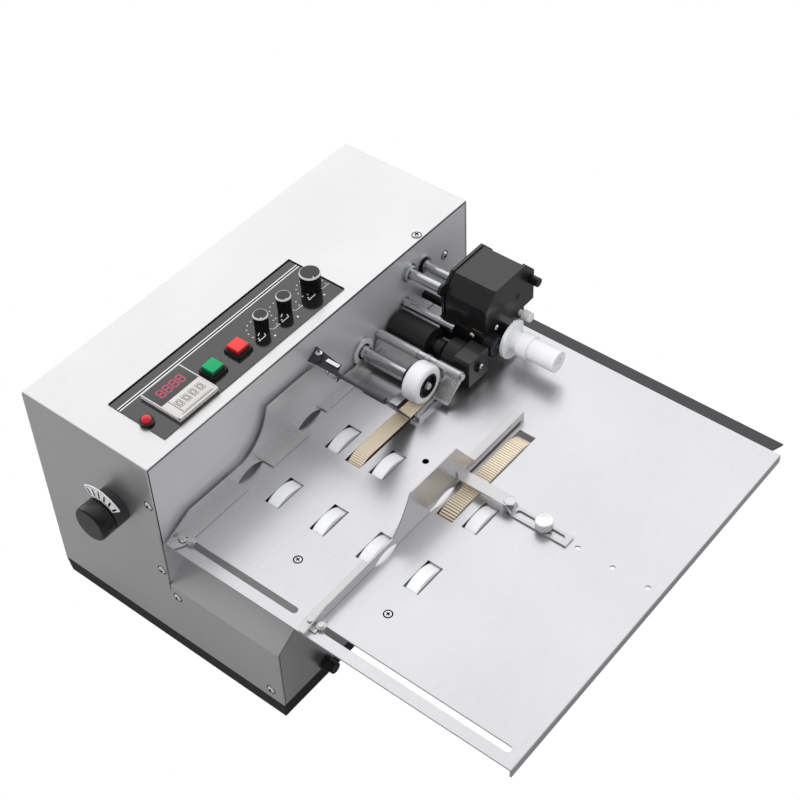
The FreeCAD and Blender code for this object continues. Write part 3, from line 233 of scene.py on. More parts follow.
# Gear and print shaft: near black with a steel edge
DARK_STEEL = Finish("blackened_gear_steel", "#3c3c40", "#2c2c2f", metallic=0.85, roughness=0.34,
                    pitch=0.4, depth=0.004, mottle=12)
# Shadow in a seam or a drilled seat, where no light comes back
GAP_BLACK = Finish("seam_shadow", "#0b0b0c", "#111112", roughness=0.8, ior=1.1)
# Print head: sprayed enamel, grey on top where it meets the sky and black on its sloping face
BLACK_ENAMEL = Finish("satin_black_enamel", "#121215", "#17171a", roughness=0.38, pitch=0.7,
                      depth=0.012, mottle=20, coat=0.3, ior=1.55)
# Base tray: duller enamel that reads as one dark line under the casing
TRAY_ENAMEL = Finish("black_tray_enamel", "#191717", "#201e1e", roughness=0.55, pitch=0.6,
                     depth=0.02)
# Delivery lip: dark grey enamel with a clear edge against the pale table
LIP_ENAMEL = Finish("dark_grey_lip_enamel", "#232123", "#1e1c1e", roughness=0.42, pitch=0.7,
                    depth=0.012, edge=0.3)
# Feed wheels, sleeve, ink knob and scale: clean milky white, soft in its own shade
NYLON = Finish("machined_white_nylon", "#fcfbfd", "#f4f3f6", roughness=0.42, pitch=0.9,
               depth=0.015, mottle=15, subsurface=0.05)
# Small moulded parts: black with a broad dull sheen
BLACK_PLASTIC = Finish("moulded_black_abs", "#151516", "#1b1b1d", roughness=0.32, pitch=0.5,
                       depth=0.008)
# Side knob: black, polished, one long highlight
GLOSS_PLASTIC = Finish("polished_black_phenolic", "#0a0a0b", "#0f0f10", roughness=0.24,
                       roughness_spread=0.04, pitch=0.5, depth=0.004, coat=0.2)
# Panel knobs: deepest black, its flutes only just seen
KNOB_PLASTIC = Finish("fluted_black_phenolic", "#060607", "#0a0a0b", roughness=0.36,
                      roughness_spread=0.04, pitch=0.5, depth=0.003, ior=1.35)
# Collar behind the side knob: matt dark grey that sets the knob off
COLLAR_PLASTIC = Finish("satin_dark_collar_nylon", "#3a393b", "#323133", roughness=0.5, pitch=0.5,
                        depth=0.008)
# Side knob's face: the black drum's matt face painted grey inside a black rim, a painted sheen
FACE_PLASTIC = Finish("grey_knob_face_painted_sheen", "#3d3b3e", "#343235", roughness=0.4, pitch=0.6,
                      depth=0.01, mottle=8)
# Black rubber rollers: dry and dark, a fine ground tooth
BLACK_RUBBER = Finish("ground_black_rubber", "#1a191b", "#242325", roughness=0.5, pitch=0.8,
                      depth=0.03)
# Press wheel's tyre: off-white urethane with a cool cast
PALE_RUBBER = Finish("pale_urethane_tyre", "#fbf9fc", "#f1eff3", roughness=0.48, pitch=0.8,
                     depth=0.02, subsurface=0.05)
# Belt ribs: warm cream
CREAM_BELT = Finish("cream_urethane_belt", "#fff3dd", "#f8e8cb", roughness=0.55, pitch=0.5,
                    depth=0.02, mottle=25)
# Belt between its ribs: the cream band painted dark brown as painted shade, which draws the ribs as
# lines
BELT_GROOVE_SHADE = Finish("belt_groove_painted_shade", "#5a4128", "#6b4a2a", roughness=0.7, pitch=0.5)
# Counter case: light warm grey moulding with clear walls
COUNTER_GREY = Finish("light_grey_counter_abs", "#dad7d6", "#cfccca", roughness=0.45, pitch=0.5,
                      depth=0.008)
# Counter window: dark smoked acrylic, level with its frame
COUNTER_LENS = Finish("smoked_acrylic_window", "#3c3b3c", "#424142", roughness=0.22,
                      roughness_spread=0.03, depth=0.002)
# Lines and figures on the counter and scale: grey print; also the counter's slots, as painted shade
COUNTER_INK = Finish("grey_counter_print", "#4c494a", "#545152", roughness=0.5)
# Knob tops: a dark grey disc inside the rim
KNOB_INSERT = Finish("grey_anodised_insert", "#3b3b3d", "#343436", metallic=0.3, roughness=0.4,
                     pitch=0.4, depth=0.003)
# Knob rims: a thin white line round the near side of each top
KNOB_RIM = Finish("polished_aluminium_rim", "#f3f3f5", "#e6e6e9", metallic=0.3, roughness=0.3,
                  pitch=0.3, depth=0.002)
# Unlit figures: dull pink strokes behind the smoked window, with a faint painted glow though nothing
# lights them
RED_GLOW = Finish("unlit_red_segment_painted_glow", "#b54a62", "#ad445b", roughness=0.4, emission=0.12)
# Panel: glossy printed film that mirrors the knobs and the sky as dark grey
PANEL_FILM = Finish("printed_black_overlay", "#1d1d1e", "#1a1a1b", roughness=0.11,
                    roughness_spread=0.02, pitch=0.5, depth=0.0005, ior=1.8)
# Stripes, dots and lines of the panel: clean white print
WHITE_INK = Finish("white_screen_ink", "#f4f3f4", "#eeedee", roughness=0.5)
# Panel border and scale bars: matt black print, darker than the film
BLACK_INK = Finish("black_screen_ink", "#060607", "#0b0b0c", roughness=0.7, ior=1.15)
# Start button: strong green, flat on top and darker on its sides
GREEN_CAP = Finish("green_button_acrylic", "#00a668", "#009c60", roughness=0.4, depth=0.003,
                   ior=1.4)
GREEN_SIDE = Finish("green_button_flank", "#04633f", "#035638", roughness=0.35, depth=0.003)
# Stop button: strong red in the same way
RED_CAP = Finish("red_button_acrylic", "#ee3a35", "#e5332e", roughness=0.35, coat=0.05,
                 depth=0.003)
RED_SIDE = Finish("red_button_flank", "#a81a23", "#9a151e", roughness=0.35, depth=0.003)
# Reset button: glossy red bead with one round highlight
RED_DOME = Finish("red_dome_acrylic", "#cf1f2a", "#c21a25", roughness=0.16, roughness_spread=0.03,
                  coat=0.4, depth=0.002)
# Ink roll: dull black compound
INK = Finish("solid_ink_compound", "#131216", "#1c1b20", roughness=0.55, depth=0.03)
# Type blocks: warm yellow metal, seen only between the rolls
BRASS = Finish("machined_brass", "#c8a45a", "#b8934a", metallic=1.0, roughness=0.3)
# Control board inside the casing: green laminate
BOARD = Finish("glass_epoxy_board", "#14532a", "#104724", roughness=0.4)
# Motor: grey cast shell
MOTOR = Finish("cast_motor_grey", "#55585a", "#4a4d4f", roughness=0.5)

SLOT_FINISH = {
    "brushed_stainless": TABLE_STEEL, "plated_steel": TURNED_STEEL, "black_enamel": BLACK_ENAMEL,
    "grey_enamel": LIP_ENAMEL, "white_nylon": NYLON, "black_plastic": BLACK_PLASTIC,
    "black_rubber": BLACK_RUBBER, "white_rubber": PALE_RUBBER, "cream_belt": CREAM_BELT,
    "counter_grey": COUNTER_GREY, "panel_film": PANEL_FILM, "green_plastic": GREEN_CAP,
    "red_plastic": RED_CAP, "ink_black": INK, "brass": BRASS, "board_green": BOARD,
    "motor_grey": MOTOR,
}
NODE_FINISH = {
    "casing_shell": TOP_STEEL, "front_plate": PLATE_STEEL, "base_tray": TRAY_ENAMEL,
    "left_guide": FENCE_STEEL, "right_guide": FENCE_STEEL, "guide_arm": FENCE_STEEL,
    "top_guide_plate": FENCE_STEEL, "separator_lever": LEAF_STEEL, "separator_blade": LEAF_STEEL,
    "idler_gear": DARK_STEEL, "print_shaft": DARK_STEEL,
}
SLOT_OF_NODE = {row["node"]: row["material_slot"] for row in frame["record"]["subparts"]}
BODY_OF_NODE = {node: body for body, nodes in frame["record"]["behaviour"]["bodies"].items()
                for node in nodes}


def finish_of(node: str) -> Finish:
    """Give the finish that a CAD node wears."""
    return NODE_FINISH.get(node) or SLOT_FINISH[SLOT_OF_NODE[node]]


@dataclass(frozen=True)
class Box:
    """Lowest and highest corners of something, in millimetres of the frame."""

    low: Vector
    high: Vector

    @classmethod
    def of(cls, node: str) -> "Box":
        """Measure one CAD node."""
        low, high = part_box(node)
        return cls(Vector(low) / MM, Vector(high) / MM)

    @classmethod
    def around(cls, points: Sequence[Vector]) -> "Box":
        """Measure a set of points that are in metres."""
        low = Vector([min(p[i] for p in points) for i in range(3)])
        high = Vector([max(p[i] for p in points) for i in range(3)])
        return cls(low / MM, high / MM)

    @property
    def centre(self) -> Vector:
        """Middle of the box."""
        return (self.low + self.high) / 2

    @property
    def size(self) -> Vector:
        """Length along each axis."""
        return self.high - self.low

    @property
    def foot(self) -> Vector:
        """Middle of the lowest face, where an upright part stands."""
        return Vector((self.centre.x, self.centre.y, self.low.z))

    @property
    def face(self) -> Vector:
        """Middle of the face that looks out over the table."""
        return Vector((self.centre.x, self.low.y, self.centre.z))


def merged_copy(node: str) -> bmesh.types.BMesh:
    """Copy a CAD node's mesh with its loose triangles joined at their corners.

    Args:
        node: the CAD node's name.

    Returns:
        A new bmesh, in metres, that the caller frees.
    """
    shell = bmesh.new()
    shell.from_mesh(frame["nodes"][node].data)
    bmesh.ops.remove_doubles(shell, verts=shell.verts, dist=WELD)
    return shell


def solids_of(node: str) -> list[Box]:
    """Measure each separate solid of a CAD node, from the lowest corner up.

    Args:
        node: the CAD node's name.

    Returns:
        One box for each solid.
    """
    shell = merged_copy(node)
    waiting = set(shell.verts)
    boxes = []
    while waiting:
        rim = [waiting.pop()]
        group = list(rim)
        while rim:
            vertex = rim.pop()
            for edge in vertex.link_edges:
                other = edge.other_vert(vertex)
                if other in waiting:
                    waiting.remove(other)
                    group.append(other)
                    rim.append(other)
        boxes.append(Box.around([vertex.co for vertex in group]))
    shell.free()
    return sorted(boxes, key=lambda box: [round(value, 2) for value in box.low])


def install(piece: bpy.types.Object, body: str,
            stands_for: Sequence[str] = ()) -> None:
    """Put a finished piece on its body and hide the CAD nodes that it stands for.

    Args:
        piece: the object, at the origin, with its place in its mesh.
        body: the CAD body that it rides on.
        stands_for: the CAD nodes that it replaces.
    """
    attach(piece, body)
    if stands_for:
        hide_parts(*stands_for)
    LOG.info("%s rides on %s with %d faces", piece.name, body, len(piece.data.polygons))


def polish(mesh: bpy.types.Mesh) -> None:
    """Shade a mesh smooth apart from its sharp edges."""
    mesh.shade_smooth()
    mesh.set_sharp_from_angle(angle=SHARP)


def as_object(name: str, mesh: bpy.types.Mesh) -> bpy.types.Object:
    """Link a mesh as an object at the origin."""
    piece = bpy.data.objects.new(name, mesh)
    bpy.context.collection.objects.link(piece)
    return piece


def bake_modifiers(piece: bpy.types.Object, shade: bool = True) -> None:
    """Turn a piece's modifiers into its plain mesh, shading it unless that is done already."""
    graph = bpy.context.evaluated_depsgraph_get()
    mesh = bpy.data.meshes.new_from_object(piece.evaluated_get(graph))
    piece.modifiers.clear()
    piece.data = mesh
    if shade:
        polish(mesh)


def ease(node: str, width: float) -> None:
    """Stand in for a CAD node with a copy of its own mesh whose edges are broken.

    Args:
        node: the CAD node's name.
        width: the broken edge's width in millimetres.
    """
    shell = merged_copy(node)
    bmesh.ops.dissolve_limit(shell, angle_limit=FLAT, verts=shell.verts,
                             edges=shell.edges)
    mesh = bpy.data.meshes.new(node + "_eased")
    shell.to_mesh(mesh)
    shell.free()
    mesh.materials.append(finish_of(node).build())
    polish(mesh)
    piece = as_object(node + "_eased", mesh)
    edge = piece.modifiers.new("broken_edge", "BEVEL")
    edge.width = width * MM
    edge.segments = 2
    edge.limit_method = "ANGLE"
    edge.angle_limit = SHARP
    even = piece.modifiers.new("even_normals", "WEIGHTED_NORMAL")
    even.keep_sharp = True
    bake_modifiers(piece, shade=False)
    install(piece, BODY_OF_NODE[node], (node,))


@dataclass(frozen=True)
class Flutes:
    """Even grooves round a turned shape, between two heights of its profile."""

    count: int
    depth: float
    low: float
    high: float

    def cut(self, height: float, turn: float) -> float:
        """Give how far a groove goes in at a height and a turn."""
        if not self.low <= height <= self.high:
            return 0.0
        return self.depth * (0.5 + 0.5 * math.cos(self.count * turn))


def disc(radius: float, height: float) -> Profile:
    """Give the profile of a plain disc or shaft from its foot up."""
    return [(0, 0), (radius, 0), (radius, height), (0, height)]


def collar(inner: float, outer: float, low: float, high: float) -> Profile:
    """Give the profile of a plain ring between two radii and two heights."""
    return [(inner, low), (outer, low), (outer, high), (inner, high)]


class Workpiece:
    """A mesh in the making, of closed shapes in millimetres of the frame, each in a finish."""

    def __init__(self, name: str) -> None:
        """Start an empty mesh under the piece's name."""
        self.name = name
        self.mesh = bmesh.new()
        self.finishes: list[Finish] = []

    def paint(self, faces: Sequence[bmesh.types.BMFace], finish: Finish) -> None:
        """Give faces their finish."""
        if finish not in self.finishes:
            self.finishes.append(finish)
        for face in faces:
            face.material_index = self.finishes.index(finish)

    def block(self, low: Point, high: Point, finish: Finish, bevel: float = 0.0) -> None:
        """Add a box, with rounded edges if a bevel is given."""
        corners = [low[:2], (high[0], low[1]), high[:2], (low[0], high[1])]
        outline = [(x, y, low[2]) for x, y in corners]
        self.prism(outline, (0, 0, high[2] - low[2]), finish, bevel)

    def prism(self, outline: Sequence[Point], rise: Point, finish: Finish,
              bevel: float = 0.0) -> None:
        """Push a flat outline out along a vector."""
        known = set(self.mesh.faces)
        foot = [self.mesh.verts.new(p) for p in outline]
        head = [self.mesh.verts.new(Vector(p) + Vector(rise)) for p in outline]
        self.mesh.faces.new(foot[::-1])
        self.mesh.faces.new(head)
        for i, vertex in enumerate(foot):
            after = (i + 1) % len(foot)
            self.mesh.faces.new((vertex, foot[after], head[after], head[i]))
        if bevel:
            edges = list(dict.fromkeys(edge for vertex in foot + head
                                       for edge in vertex.link_edges))
            bmesh.ops.bevel(self.mesh, geom=edges, offset=bevel, segments=3, profile=0.5,
                            affect="EDGES", clamp_overlap=True)
        self.paint([face for face in self.mesh.faces if face not in known], finish)

    def lathe(self, profile: Profile, centre: Point, axis: Point, finish: Finish,
              segments: int = 64, flutes: Flutes | None = None, ring: bool = False) -> None:
        """Turn a profile of radius and height round an axis.

        Args:
            profile: radius and height pairs; a radius of 0 is a pole.
            centre: where height 0 is.
            axis: direction of growing height.
            finish: the finish of the whole shape.
            segments: faces round the axis.
            flutes: grooves to cut, if any.
            ring: whether the profile closes on itself, as a ring's does.
        """
        known = set(self.mesh.faces)
        up = Vector(axis).normalized()
        side = Vector(UP) if abs(up.z) < 0.5 else Vector((1, 0, 0))
        other = up.cross(side)
        rows = []
        for radius, height in profile:
            foot = Vector(centre) + up * height
            if radius <= 0:
                rows.append([self.mesh.verts.new(foot)])
                continue
            row = []
            for i in range(segments):
                turn = FULL_TURN * i / segments
                reach = radius - (flutes.cut(height, turn) if flutes else 0)
                way = side * math.cos(turn) + other * math.sin(turn)
                row.append(self.mesh.verts.new(foot + way * reach))
            rows.append(row)
        pairs = list(zip(rows, rows[1:] + rows[:1])) if ring else list(zip(rows, rows[1:]))
        for low, high in pairs:
            for i in range(segments):
                after = (i + 1) % segments
                if len(low) == 1:
                    self.mesh.faces.new((low[0], high[i], high[after]))
                elif len(high) == 1:
                    self.mesh.faces.new((low[after], low[i], high[0]))
                else:
                    self.mesh.faces.new((low[i], low[after], high[after], high[i]))
        self.paint([face for face in self.mesh.faces if face not in known], finish)

    def stroke(self, start: Vector, end: Vector, width: float, rise: float,
               finish: Finish) -> None:
        """Lay a flat printed line between two points of a level plane."""
        way = (end - start).normalized()
        off = Vector((-way.y, way.x, 0)) * width / 2
        self.prism([start + off, start - off, end - off, end + off], (0, 0, rise), finish)

    def digit(self, centre: Point, size: tuple[float, float], line: float, rise: float,
              lit: str, finish: Finish) -> None:
        """Draw one plain seven-segment figure that reads from the front of the machine.

        Args:
            centre: middle of the figure, on the surface.
            size: width along x and height along y.
            line: width of a segment.
            rise: how far the segments stand off the surface.
            lit: letters of the segments, a at the top and then clockwise, g in the middle.
            finish: the segments' finish.
        """
        x, y, z = centre
        half, tall = size[0] / 2, size[1] / 2
        gap = line * 0.2
        level = {"a": tall, "g": 0.0, "d": -tall}
        upright = {"b": (half, 0.0), "c": (half, -tall), "e": (-half, -tall), "f": (-half, 0.0)}
        for letter in lit:
            if letter in level:
                low = (x - half + gap, y + level[letter] - line / 2, z)
                high = (x + half - gap, y + level[letter] + line / 2, z + rise)
            else:
                across, start = upright[letter]
                low = (x + across - line / 2, y + start + gap, z)
                high = (x + across + line / 2, y + start + tall - gap, z + rise)
            self.block(low, high, finish)

    def deliver(self, body: str, stands_for: Sequence[str] = ()) -> None:
        """Finish the mesh as a piece on its body.

        Args:
            body: the CAD body that it rides on.
            stands_for: the CAD nodes that it replaces.
        """
        bmesh.ops.recalc_face_normals(self.mesh, faces=self.mesh.faces)
        bmesh.ops.scale(self.mesh, vec=(MM, MM, MM), verts=self.mesh.verts)
        mesh = bpy.data.meshes.new(self.name)
        self.mesh.to_mesh(mesh)
        self.mesh.free()
        for finish in self.finishes:
            mesh.materials.append(finish.build())
        polish(mesh)
        install(as_object(self.name, mesh), body, stands_for)


class GrowthTree:
    """A geometry tree with named inputs, and the pieces that it grows on host meshes."""

    def __init__(self, name: str, sizes: dict[str, str]) -> None:
        """Make the tree with its inputs.

        Args:
            name: the tree's name.
            sizes: input name to socket kind, such as Float or Int.
        """
        self.tree = bpy.data.node_groups.new(name, "GeometryNodeTree")
        face = self.tree.interface
        face.new_socket("Geometry", in_out="INPUT", socket_type="NodeSocketGeometry")
        for label, kind in sizes.items():
            face.new_socket(label, in_out="INPUT", socket_type="NodeSocket" + kind)
        face.new_socket("Material", in_out="INPUT", socket_type="NodeSocketMaterial")
        face.new_socket("Geometry", in_out="OUTPUT", socket_type="NodeSocketGeometry")
        self.inputs = add_node(self.tree, "NodeGroupInput").outputs

    def add(self, kind: str, inputs: dict | None = None, **settings: object) -> bpy.types.Node:
        """Add a node to this tree."""
        return add_node(self.tree, kind, inputs, **settings)

    def math(self, operation: str, first: object, second: object) -> bpy.types.NodeSocket:
        """Work out one sum, difference or product."""
        return self.add("ShaderNodeMath", {0: first, 1: second}, operation=operation).outputs[0]

    def vector(self, **axes: object) -> bpy.types.NodeSocket:
        """Combine values along X, Y and Z."""
        return self.add("ShaderNodeCombineXYZ", axes).outputs[0]

    def cube(self, **axes: object) -> bpy.types.NodeSocket:
        """Make a block from its lengths along X, Y and Z."""
        return self.add("GeometryNodeMeshCube", {"Size": self.vector(**axes)}).outputs[0]

    def moved(self, geometry: bpy.types.NodeSocket, **change: object) -> bpy.types.NodeSocket:
        """Shift or turn geometry by a Translation or a Rotation."""
        return self.add("GeometryNodeTransform", {"Geometry": geometry, **change}).outputs[0]

    def mark(self, geometry: bpy.types.NodeSocket) -> bpy.types.NodeSocket:
        """Set the attribute marked on every face, for the second material."""
        return self.add("GeometryNodeStoreNamedAttribute", {
            "Geometry": geometry, "Name": "marked", "Value": True},
            data_type="BOOLEAN", domain="FACE").outputs[0]

    def close(self, geometry: bpy.types.NodeSocket, marked: str | None = None) -> None:
        """End the tree in real geometry with its material.

        Args:
            geometry: what the tree has made.
            marked: the material input for faces whose attribute marked is set, if any.
        """
        real = self.add("GeometryNodeRealizeInstances", {0: geometry})
        painted = self.add("GeometryNodeSetMaterial", {
            "Geometry": real.outputs[0], "Material": self.inputs["Material"]})
        if marked:
            chosen = self.add("GeometryNodeInputNamedAttribute", {"Name": "marked"},
                              data_type="BOOLEAN")
            painted = self.add("GeometryNodeSetMaterial", {
                "Geometry": painted.outputs[0], "Selection": chosen.outputs[0],
                "Material": self.inputs[marked]})
        self.add("NodeGroupOutput", {0: painted.outputs[0]})

    def grow(self, name: str, host: bpy.types.Mesh, finish: Finish,
             sizes: dict[str, float | bpy.types.Material]) -> bpy.types.Object:
        """Grow one piece on a host mesh.

        Args:
            name: the piece's name.
            host: points or a path, in metres.
            finish: the finish of what is grown.
            sizes: a value for each named input.

        Returns:
            The piece with a plain mesh, not yet installed.
        """
        piece = as_object(name, host)
        growth = piece.modifiers.new("growth", "NODES")
        growth.node_group = self.tree
        known = {item.name: item.identifier for item in self.tree.interface.items_tree
                 if item.in_out == "INPUT"}
        for label, value in sizes.items():
            growth[known[label]] = value
        growth[known["Material"]] = finish.build()
        bake_modifiers(piece)
        return piece


def host_points(name: str, places: Sequence[Point], facing: Sequence[Point]) -> bpy.types.Mesh:
    """Make a mesh of loose points that each carry the way they face.

    Args:
        name: the mesh's name.
        places: the points in millimetres.
        facing: one direction for each point.

    Returns:
        The mesh in metres, with a vector attribute called facing.
    """
    mesh = bpy.data.meshes.new(name)
    mesh.from_pydata([Vector(p) * MM for p in places], [], [])
    ways = mesh.attributes.new("facing", "FLOAT_VECTOR", "POINT")
    for item, way in zip(ways.data, facing):
        item.vector = way
    return mesh


def facing_instances(trees: GrowthTree, geometry: bpy.types.NodeSocket,
                     spin_seed: int | None = None) -> bpy.types.NodeSocket:
    """Set geometry made in millimetres on the host's points, each turned the way it faces.

    Args:
        trees: the tree to add to.
        geometry: what is set on every point.
        spin_seed: seed of a random turn about the facing way, or None for no turn.

    Returns:
        The instances.
    """
    way = trees.add("GeometryNodeInputNamedAttribute", {"Name": "facing"},
                    data_type="FLOAT_VECTOR")
    aim = trees.add("FunctionNodeAlignRotationToVector", {"Vector": way.outputs[0]}, axis="Z")
    turned = aim.outputs[0]
    if spin_seed is not None:
        spin = trees.add("FunctionNodeRandomValue", {"Seed": spin_seed}, data_type="FLOAT_VECTOR")
        spin.inputs[0].default_value = (0, 0, 0)
        spin.inputs[1].default_value = (0, 0, FULL_TURN)
        own = trees.add("FunctionNodeEulerToRotation", {0: spin.outputs[0]})
        turned = trees.add("FunctionNodeRotateRotation", {
            "Rotation": turned, "Rotate By": own.outputs[0]}, rotation_space="LOCAL").outputs[0]
    placed = trees.add("GeometryNodeInstanceOnPoints", {
        "Points": trees.inputs["Geometry"], "Instance": geometry, "Rotation": turned,
        "Scale": (MM, MM, MM)})
    return placed.outputs[0]


def pan_head_tree() -> GrowthTree:
    """Make the tree for domed cross-recess screw heads.

    Returns:
        A tree whose host points carry the way each head faces.
    """
    heads = GrowthTree("pan_heads", {
        "Dome Radius": "Float", "Head Height": "Float", "Recess Span": "Float",
        "Recess Width": "Float", "Recess Depth": "Float", "Recess Shade Material": "Material"})
    radius, height = heads.inputs["Dome Radius"], heads.inputs["Head Height"]
    ball = heads.add("GeometryNodeMeshUVSphere", {"Segments": 32, "Rings": 28, "Radius": radius})
    sunk = heads.moved(ball.outputs[0],
                       Translation=heads.vector(Z=heads.math("SUBTRACT", height, radius)))
    # The block keeps the part of the ball that stands above the sheet
    wide = heads.math("MULTIPLY", radius, 3.0)
    tall = heads.math("MULTIPLY", height, 2.5)
    above = heads.moved(heads.cube(X=wide, Y=wide, Z=tall),
                        Translation=heads.vector(Z=heads.math("MULTIPLY", tall, 0.5)))
    head = heads.add("GeometryNodeMeshBoolean", operation="INTERSECT")
    for part in (sunk, above):
        heads.tree.links.new(part, head.inputs["Mesh 2"])
    # The cross recess is cut and marked for the recess material, a black painted shade inside the
    # cut.
    deep = heads.math("MULTIPLY", heads.inputs["Recess Depth"], 2.0)
    for x, y in (("Recess Span", "Recess Width"), ("Recess Width", "Recess Span")):
        bar = heads.mark(heads.cube(X=heads.inputs[x], Y=heads.inputs[y], Z=deep))
        cut = heads.add("GeometryNodeMeshBoolean", {"Mesh 1": head.outputs[0]},
                        operation="DIFFERENCE")
        heads.tree.links.new(heads.moved(bar, Translation=heads.vector(Z=height)),
                             cut.inputs["Mesh 2"])
        head = cut
    heads.close(facing_instances(heads, head.outputs[0], spin_seed=7), "Recess Shade Material")
    return heads


def belt_tree() -> GrowthTree:
    """Make the tree for a flat belt with moulded ribs that follows a closed path.

    Returns:
        A tree whose host is the belt's middle line as a closed polyline in an xz plane.
    """
    belt = GrowthTree("ribbed_belt", {
        "Pitch": "Float", "Belt Width": "Float", "Band Thickness": "Float",
        "Rib Thickness": "Float", "Rib Run": "Float", "Studs Across": "Int",
        "Stud Width": "Float", "Stud Step": "Float", "Groove Shade Material": "Material"})
    size = belt.inputs
    line = belt.add("GeometryNodeMeshToCurve", {"Mesh": size["Geometry"]})
    even = belt.add("GeometryNodeResampleCurve", {"Curve": line.outputs[0],
                                                  "Length": size["Pitch"]}, mode="LENGTH")
    level = belt.add("GeometryNodeSetCurveNormal", {"Curve": even.outputs[0],
                                                    "Normal": BACK}, mode="FREE")
    section = belt.add("GeometryNodeCurvePrimitiveQuadrilateral", {
        "Width": size["Belt Width"], "Height": size["Band Thickness"]})
    band = belt.add("GeometryNodeCurveToMesh", {"Curve": level.outputs[0],
                                                "Profile Curve": section.outputs[0]})
    stud = belt.cube(X=size["Stud Width"], Y=size["Rib Thickness"], Z=size["Rib Run"])
    spaces = belt.math("SUBTRACT", size["Studs Across"], 1.0)
    reach = belt.math("MULTIPLY", spaces, size["Stud Step"])
    across = belt.add("GeometryNodeMeshLine", {
        "Count": size["Studs Across"],
        "Start Location": belt.vector(X=belt.math("MULTIPLY", reach, -0.5)),
        "Offset": belt.vector(X=size["Stud Step"])}, mode="OFFSET")
    row = belt.add("GeometryNodeInstanceOnPoints", {"Points": across.outputs[0], "Instance": stud})
    whole_row = belt.add("GeometryNodeRealizeInstances", {0: row.outputs[0]})
    stops = belt.add("GeometryNodeCurveToPoints", {"Curve": level.outputs[0]}, mode="EVALUATED")
    ribs = belt.add("GeometryNodeInstanceOnPoints", {
        "Points": stops.outputs["Points"], "Instance": whole_row.outputs[0],
        "Rotation": stops.outputs["Rotation"]})
    joined = belt.add("GeometryNodeJoinGeometry")
    # The band is marked for the groove material: dark brown painted shade between the ribs.
    for part in (belt.mark(band.outputs[0]), ribs.outputs[0]):
        belt.tree.links.new(part, joined.inputs[0])
    belt.close(joined.outputs[0], "Groove Shade Material")
    return belt


def arc_mark_tree() -> GrowthTree:
    """Make the tree for bars or dots spaced along an arc round each host point.

    Returns:
        A tree whose host points carry the way the marked face looks.
    """
    marks = GrowthTree("arc_marks", {
        "Count": "Int", "Arc Radius": "Float", "Start": "Float", "Sweep": "Float",
        "Mark Run": "Float", "Mark Width": "Float", "Mark Rise": "Float", "Round": "Bool"})
    size = marks.inputs
    arc = marks.add("GeometryNodeCurveArc", {
        "Resolution": 64, "Radius": size["Arc Radius"], "Start Angle": size["Start"],
        "Sweep Angle": size["Sweep"]}, mode="RADIUS")
    stops = marks.add("GeometryNodeCurveToPoints", {"Curve": arc.outputs["Curve"],
                                                    "Count": size["Count"]}, mode="COUNT")
    bar = marks.cube(X=size["Mark Run"], Y=size["Mark Rise"], Z=size["Mark Width"])
    dot = marks.add("GeometryNodeMeshCylinder", {
        "Vertices": 16, "Radius": marks.math("MULTIPLY", size["Mark Width"], 0.5),
        "Depth": size["Mark Rise"]})
    choice = marks.add("GeometryNodeSwitch", {
        "Switch": size["Round"], "False": bar,
        "True": marks.moved(dot.outputs[0], Rotation=(math.pi / 2, 0, 0))}, input_type="GEOMETRY")
    around = marks.add("GeometryNodeInstanceOnPoints", {
        "Points": stops.outputs["Points"], "Instance": choice.outputs[0],
        "Rotation": stops.outputs["Rotation"]})
    dial = marks.add("GeometryNodeRealizeInstances", {0: around.outputs[0]})
    marks.close(facing_instances(marks, dial.outputs[0]))
    return marks


@dataclass(frozen=True)
class Trees:
    """The geometry trees that the sub-assemblies share."""

    pan_heads: GrowthTree = field(default_factory=pan_head_tree)
    belts: GrowthTree = field(default_factory=belt_tree)
    arc_marks: GrowthTree = field(default_factory=arc_mark_tree)


def dress_frame() -> None:
    """Give every CAD node its procedural finish."""
    for name, node in frame["nodes"].items():
        material = finish_of(name).build()
        if not node.material_slots:
            node.data.materials.append(material)
        for holder in node.material_slots:
            holder.material = material
        LOG.info("dressed %s in %s", name, material.name)


